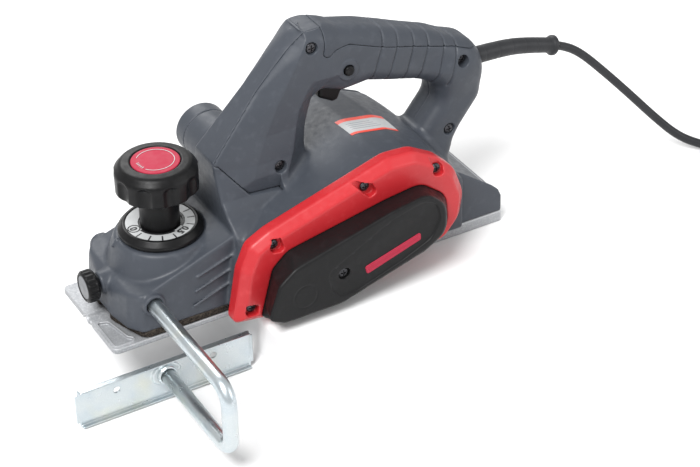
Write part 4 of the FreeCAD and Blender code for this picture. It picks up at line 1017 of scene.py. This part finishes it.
def make_fence():
    """The folded fence plate, its collar and bent bar, and the clamp's hand knob."""
    grid = Grid((-162, -56, -40), (-32, -47.5, -8.5), 0.4)
    sheet = between(grid.side([(-158.3, -38.3, 0.6), (-35.5, -38.3, 0.6), (-35.5, -10.2, 0.6),
                               (-158.3, -10.2, 0.6)]), grid.y, -50.7, -48.7, 0.4)
    for low, high in ((-38.4, -37.2), (-11.2, -10.1)):
        sheet = join(sheet, grid.box((-157.6, -53.4, low), (-36.2, -48.9, high), 0.4), 0.8)
    for side in (-1, 1):
        x = BAR_FOOT[0] + side * 62.2
        sheet = join(sheet, grid.box((x - 1.3, -50.4, -35.4), (x + 1.3, -49.2, -13.6), 0.4), 0.3)
    emboss = np.hypot((grid.x - BAR_FOOT[0]) / 1.25, grid.z - BAR_FOOT[1]) - 8.2
    form = join(sheet, between(emboss, grid.y, -52.4, -50, 0.9), 1.2)
    for side in (-1, 1):
        hole = grid.rod("Y", (BAR_FOOT[0] + 34.5 * side, BAR_FOOT[1]), -60, -40, 2.4)
        form = carve(form, hole, 0.4)
    sculpt("fence_sheet", grid, form, "fence", "zinc_steel", "fence_plate")
    grid = Grid((-107, -56, -29), (-87, -50, -9), 0.3)
    profile = [(5.05, -54.7, 0.3), (6.1, -54.7, 0.5), (6.9, -53.4, 0.4), (6.9, -51.6, 0.2),
               (5.05, -51.6, 0.2)]
    sculpt("fence_weld_collar", grid, grid.turned("Y", BAR_FOOT, profile), "fence",
           "zinc_steel", "fence_collar")
    arc = np.linspace(0, math.pi / 2, 12)
    bends = [(-131.2 - 12 * math.sin(a), 16.7 + 12 * math.cos(a)) for a in arc]
    bends += [(-131.2 - 12 * math.cos(a), -7.1 - 12 * math.sin(a)) for a in arc]
    line = [(30, 28.7), (30, 28.7), (29.3, 28.7), *bends, (-52, -19.1), (-51.4, -19.1),
            (-51.4, -19.1)]
    path = np.array([(BAR_TOP[0], y, z) for y, z in line])
    radius = np.full(len(path), 5.0)
    radius[[0, -1]], radius[[1, -2]] = 0.05, 4.3
    sweep("fence_bar", path, radius, (1, 0, 0), "fence", "zinc_steel", "fence_rod")
    grid = Grid((-129.5, -13, 16), (-118, 13, 42), 0.3)
    profile = [(0, -119.6, 0), (9.6, -119.6, 1), (10.9, -121, 0.6), (10.9, -126.6, 0.8),
               (9.4, -128, 0.8), (8.6, -128, 0.3), (8.2, -127.2, 0.3), (0, -127.2, 0)]
    form = grid.turned("X", CLAMP, profile)
    for index in range(18):
        centre = on_circle(CLAMP, 12, math.radians(20 * index))
        form = carve(form, grid.rod("X", centre, -130, -121.4, 1.75, 0.4), 0.4)
    sculpt("clamp_hand_knob", grid, form, "fence_clamp", "black_plastic", "fence_clamp_knob")
    grid = Grid((-129, -10, 18), (-126, 10, 39), 0.3)
    profile = [(0, -127.1, 0), (8, -127.1, 0.1), (8, -127.7, 0.3), (0, -127.9, 0)]
    sculpt("clamp_disc", grid, grid.turned("X", CLAMP, profile), "fence_clamp", "black_plastic",
           finish="clamp_face")


# ---- controls and springs

def make_controls():
    """The trigger, hollow for its spring, and the lock button's pin."""
    grid = Grid((42, -8.5, 105), (71, 8.5, 135), 0.45)
    blade = [(46, 127.5, 1.5), (45.4, 119.4, 2.5), (56, 113.4, 2.5), (59.4, 114.4, 2),
             (62, 120, 3), (68, 124, 3), (68, 132.2, 3), (58, 132.4, 2)]
    form = between(grid.side(blade), grid.y, -7, 7, 2.2)
    form = cut(form, grid.rod("Y", (64, 131), -9, 9, 1.6),
               grid.box((47.8, -3.5, 120.6), (56, 3.5, 140), 0.5))
    sculpt("trigger_blade", grid, form, "trigger_lever", "black_plastic", "trigger")
    grid = Grid((55, -21.5, 134), (69, -11, 148), 0.3)
    profile = [(0, -12.4, 0), (4.7, -12.4, 0.2), (4.7, -13.2, 0.2), (3.4, -13.3, 0),
               (3.4, -19.4, 0.7), (2.4, -19.9, 0.4), (0, -19.5, 0)]
    sculpt("lock_on_pin", grid, grid.turned("Y", LOCK, profile), "lock_on_button",
           "black_plastic", "lock_button")


def coil_spring(name, base, axis, radius, wire, height, turns, node):
    """A helical spring from its base along an axis."""
    steps = turns * 16
    path = []
    for step in range(steps + 1):
        angle = 2 * math.pi * turns * step / steps
        local = Vector((*on_circle((0, 0), radius, angle), height * step / steps))
        if axis == "Y":
            local = Vector((local.x, local.z, local.y))
        path.append(Vector(base) + local)
    curve = smooth_curve(name, path, wire)
    curve.data.bevel_resolution, curve.data.resolution_u = 2, 2
    mesh = bpy.data.meshes.new_from_object(curve)
    bpy.data.objects.remove(curve)
    mesh.materials.append(FINISHES["spring_steel"])
    thing = put(name, mesh)
    adopt(thing, "chassis", "spring_steel", *([node] if node else []))
    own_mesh(thing)


def make_sticker(housing):
    """A two-tone label with plain bars, laid over the crown of the motor housing."""
    tree = BVHTree.FromObject(housing, bpy.context.evaluated_depsgraph_get())
    corner, across, down = Vector((61.5, 2.5)), Vector((33, -4.8)), Vector((1.6, -20.3))
    rows, columns = 26, 48
    vertices = []
    for row in range(rows + 1):
        for column in range(columns + 1):
            spot = corner + across * (column / columns) + down * (row / rows)
            start = Vector((spot.x * MM, spot.y * MM, 0.11))
            place, normal, _, _ = tree.ray_cast(start, Vector((0, 0, -1)))
            vertices.append((place + normal * 0.00016) / MM)
    quads = [(r * (columns + 1) + c, (r + 1) * (columns + 1) + c,
              (r + 1) * (columns + 1) + c + 1, r * (columns + 1) + c + 1)
             for r in range(rows) for c in range(columns)]
    sticker = new_object("blank_label", vertices, quads, FINISHES["white_scale"])
    for name in ("label_orange", "label_grey"):
        sticker.data.materials.append(FINISHES[name])
    for index, face in enumerate(sticker.data.polygons):
        row, column = divmod(index, columns)
        bar = row in (9, 12, 15, 18) and 4 < column < 40 - (row * 5) % 17
        face.material_index = 1 if row < 5 or row > 22 else 2 * bar
    adopt(sticker, "chassis", "white_scale")


# ---- cord, boot and plug

def make_boot():
    """The ribbed strain relief between the handle and the cord."""
    line = line_points(BOOT_ROUTE)
    steps = np.concatenate([[0], np.cumsum(np.linalg.norm(np.diff(line, axis=0), axis=1))])
    total = steps[-1]
    along = np.linspace(0, total, 140)
    path = np.stack([np.interp(along, steps, line[:, i]) for i in range(3)], 1)
    radius = np.interp(along, [0, 8, total - 7, total - 5, total - 3, total - 1, total],
                       [6.25, 6.2, 5.4, 5.9, 7.2, 7.1, 6.0])
    radius = radius - 0.16 * ease(-np.abs(np.mod(along, 11) - 5.5), -0.7, -0.2) \
        * (along > 10) * (along < total - 10)
    path = np.concatenate([path, path[-1:]])
    return sweep("strain_relief", path, np.append(radius, 3.3), (0, 1, 0),
                 "chassis", "cord_rubber", "cord_boot")


def make_plug():
    """The plug at the far end of the cord, and its pins."""
    grid = Grid((420, -8, -1), (460, 35, 21), 0.5)
    plan = [(431, -5, 3), (449, -5, 3), (457.4, 12, 8), (457.4, 33, 4), (422.8, 33, 4),
            (422.8, 12, 8)]
    form = between(grid.plan(plan), grid.z, 0.2, 19.8, 4.5)
    ribs = ease(-np.abs(np.mod(grid.y, 4) - 2), -0.7, -0.2) * (grid.y > 10) * (grid.y < 28)
    form = form + 0.6 * ribs
    form = join(form, grid.rod("Y", (440.1, 10), -4.9, 3, 5.4, 0.8), 1.5)
    plug = sculpt("lead_plug", grid, form, "chassis", "cord_rubber", "mains_plug")
    grid = Grid((424, 32, 5), (456, 53, 15), 0.35)
    form = union(*(grid.rod("Y", (x, 10), 32.8, 51.9, 2.4, 0.9) for x in (430.6, 449.6)))
    pins = sculpt("lead_plug_pins", grid, form, "chassis", "bright_steel", "plug_pins")
    return plug, pins


def make_cord():
    """The free cord from the boot to the plug, laid along its route and coiled."""
    cord = smooth_curve("mains_lead", CORD_ROUTE + coil_turns() + CORD_TAIL, CORD_RADIUS)
    cord.data.materials.append(FINISHES["cord_rubber"])
    adopt(cord, "chassis", "cord_rubber", "cord", "cord_coil")
    plug, pins = make_plug()
    make_boot()


# ---- stage and lights

def add_stage():
    """A pale table top that ends under the tool's front, so that the fence hangs free."""
    pale = Finish("stage", (228, 228, 228), 0.85, specular=0.1)
    pale.clouds(900, 2, 0.4, 0.6, 0.15, (224, 224, 225))
    edge, low = -26, -39.5
    outline = [(edge + 8 * (1 - math.sin(a)), -8 * (1 - math.cos(a)))
               for a in np.linspace(0, math.pi / 2, 9)]
    profile = [(3000, 0)] + outline + [(edge, low + 6), (edge - 2, low + 2), (edge - 6, low),
                                       (-3000, low)]
    vertices = [(x, y, z) for x, z in profile for y in (-2500, 4000)]
    faces = [(2 * i, 2 * i + 2, 2 * i + 3, 2 * i + 1) for i in range(len(profile) - 1)]
    new_object("table", np.array(vertices), np.array(faces), pale.material)


def add_light(name, at, aim, size, power):
    """A round soft light that faces its aim."""
    data = bpy.data.lights.new(name, "AREA")
    data.shape, data.size, data.energy = "DISK", size, power
    light = put(name, data)
    light.location = at
    light.rotation_euler = (Vector(aim) - Vector(at)).to_track_quat("-Z", "Y").to_euler()


def add_lights():
    """A key, a fill and a back light in a pale studio."""
    aim = (0.03, 0, 0.06)
    add_light("key", (-1.0, -0.7, 1.8), aim, 1.0, 52)
    add_light("fill", (1.3, -1.3, 0.9), aim, 1.2, 8)
    add_light("back", (0.3, 1.5, 1.3), aim, 1.2, 16)
    world = bpy.data.worlds.new("studio")
    world.use_nodes = True
    world.node_tree.nodes["Background"].inputs["Color"].default_value = (1, 1, 1, 1)
    world.node_tree.nodes["Background"].inputs["Strength"].default_value = 0.8
    bpy.context.scene.world = world
    bpy.context.scene.view_settings.view_transform = "Standard"


dress_nodes()
add_camera()
make_cord()
housing = make_housing()
for make in (make_handle, make_side_cover, make_outlet, make_trim, make_belt_cover, make_screws,
             make_knob, make_scale, make_shoe, make_rear_sole, make_seal, make_fence,
             make_controls):
    make()
coil_spring("trigger_return", (51, 0, 121.7), "Z", 2.5, 0.45, 13.5, 6,
            "trigger_spring")
coil_spring("lock_return", (61.7, -12.05, 141), "Y", 2.4, 0.25, 2.1, 2,
            "lock_button_spring")
for side in (-24, 24):
    coil_spring("shoe_return_%d" % (side > 0), (-52, side, 5), "Z", 5, 0.8, 30, 7,
                "shoe_springs" if side < 0 else None)
make_sticker(housing)
add_stage()
add_lights()
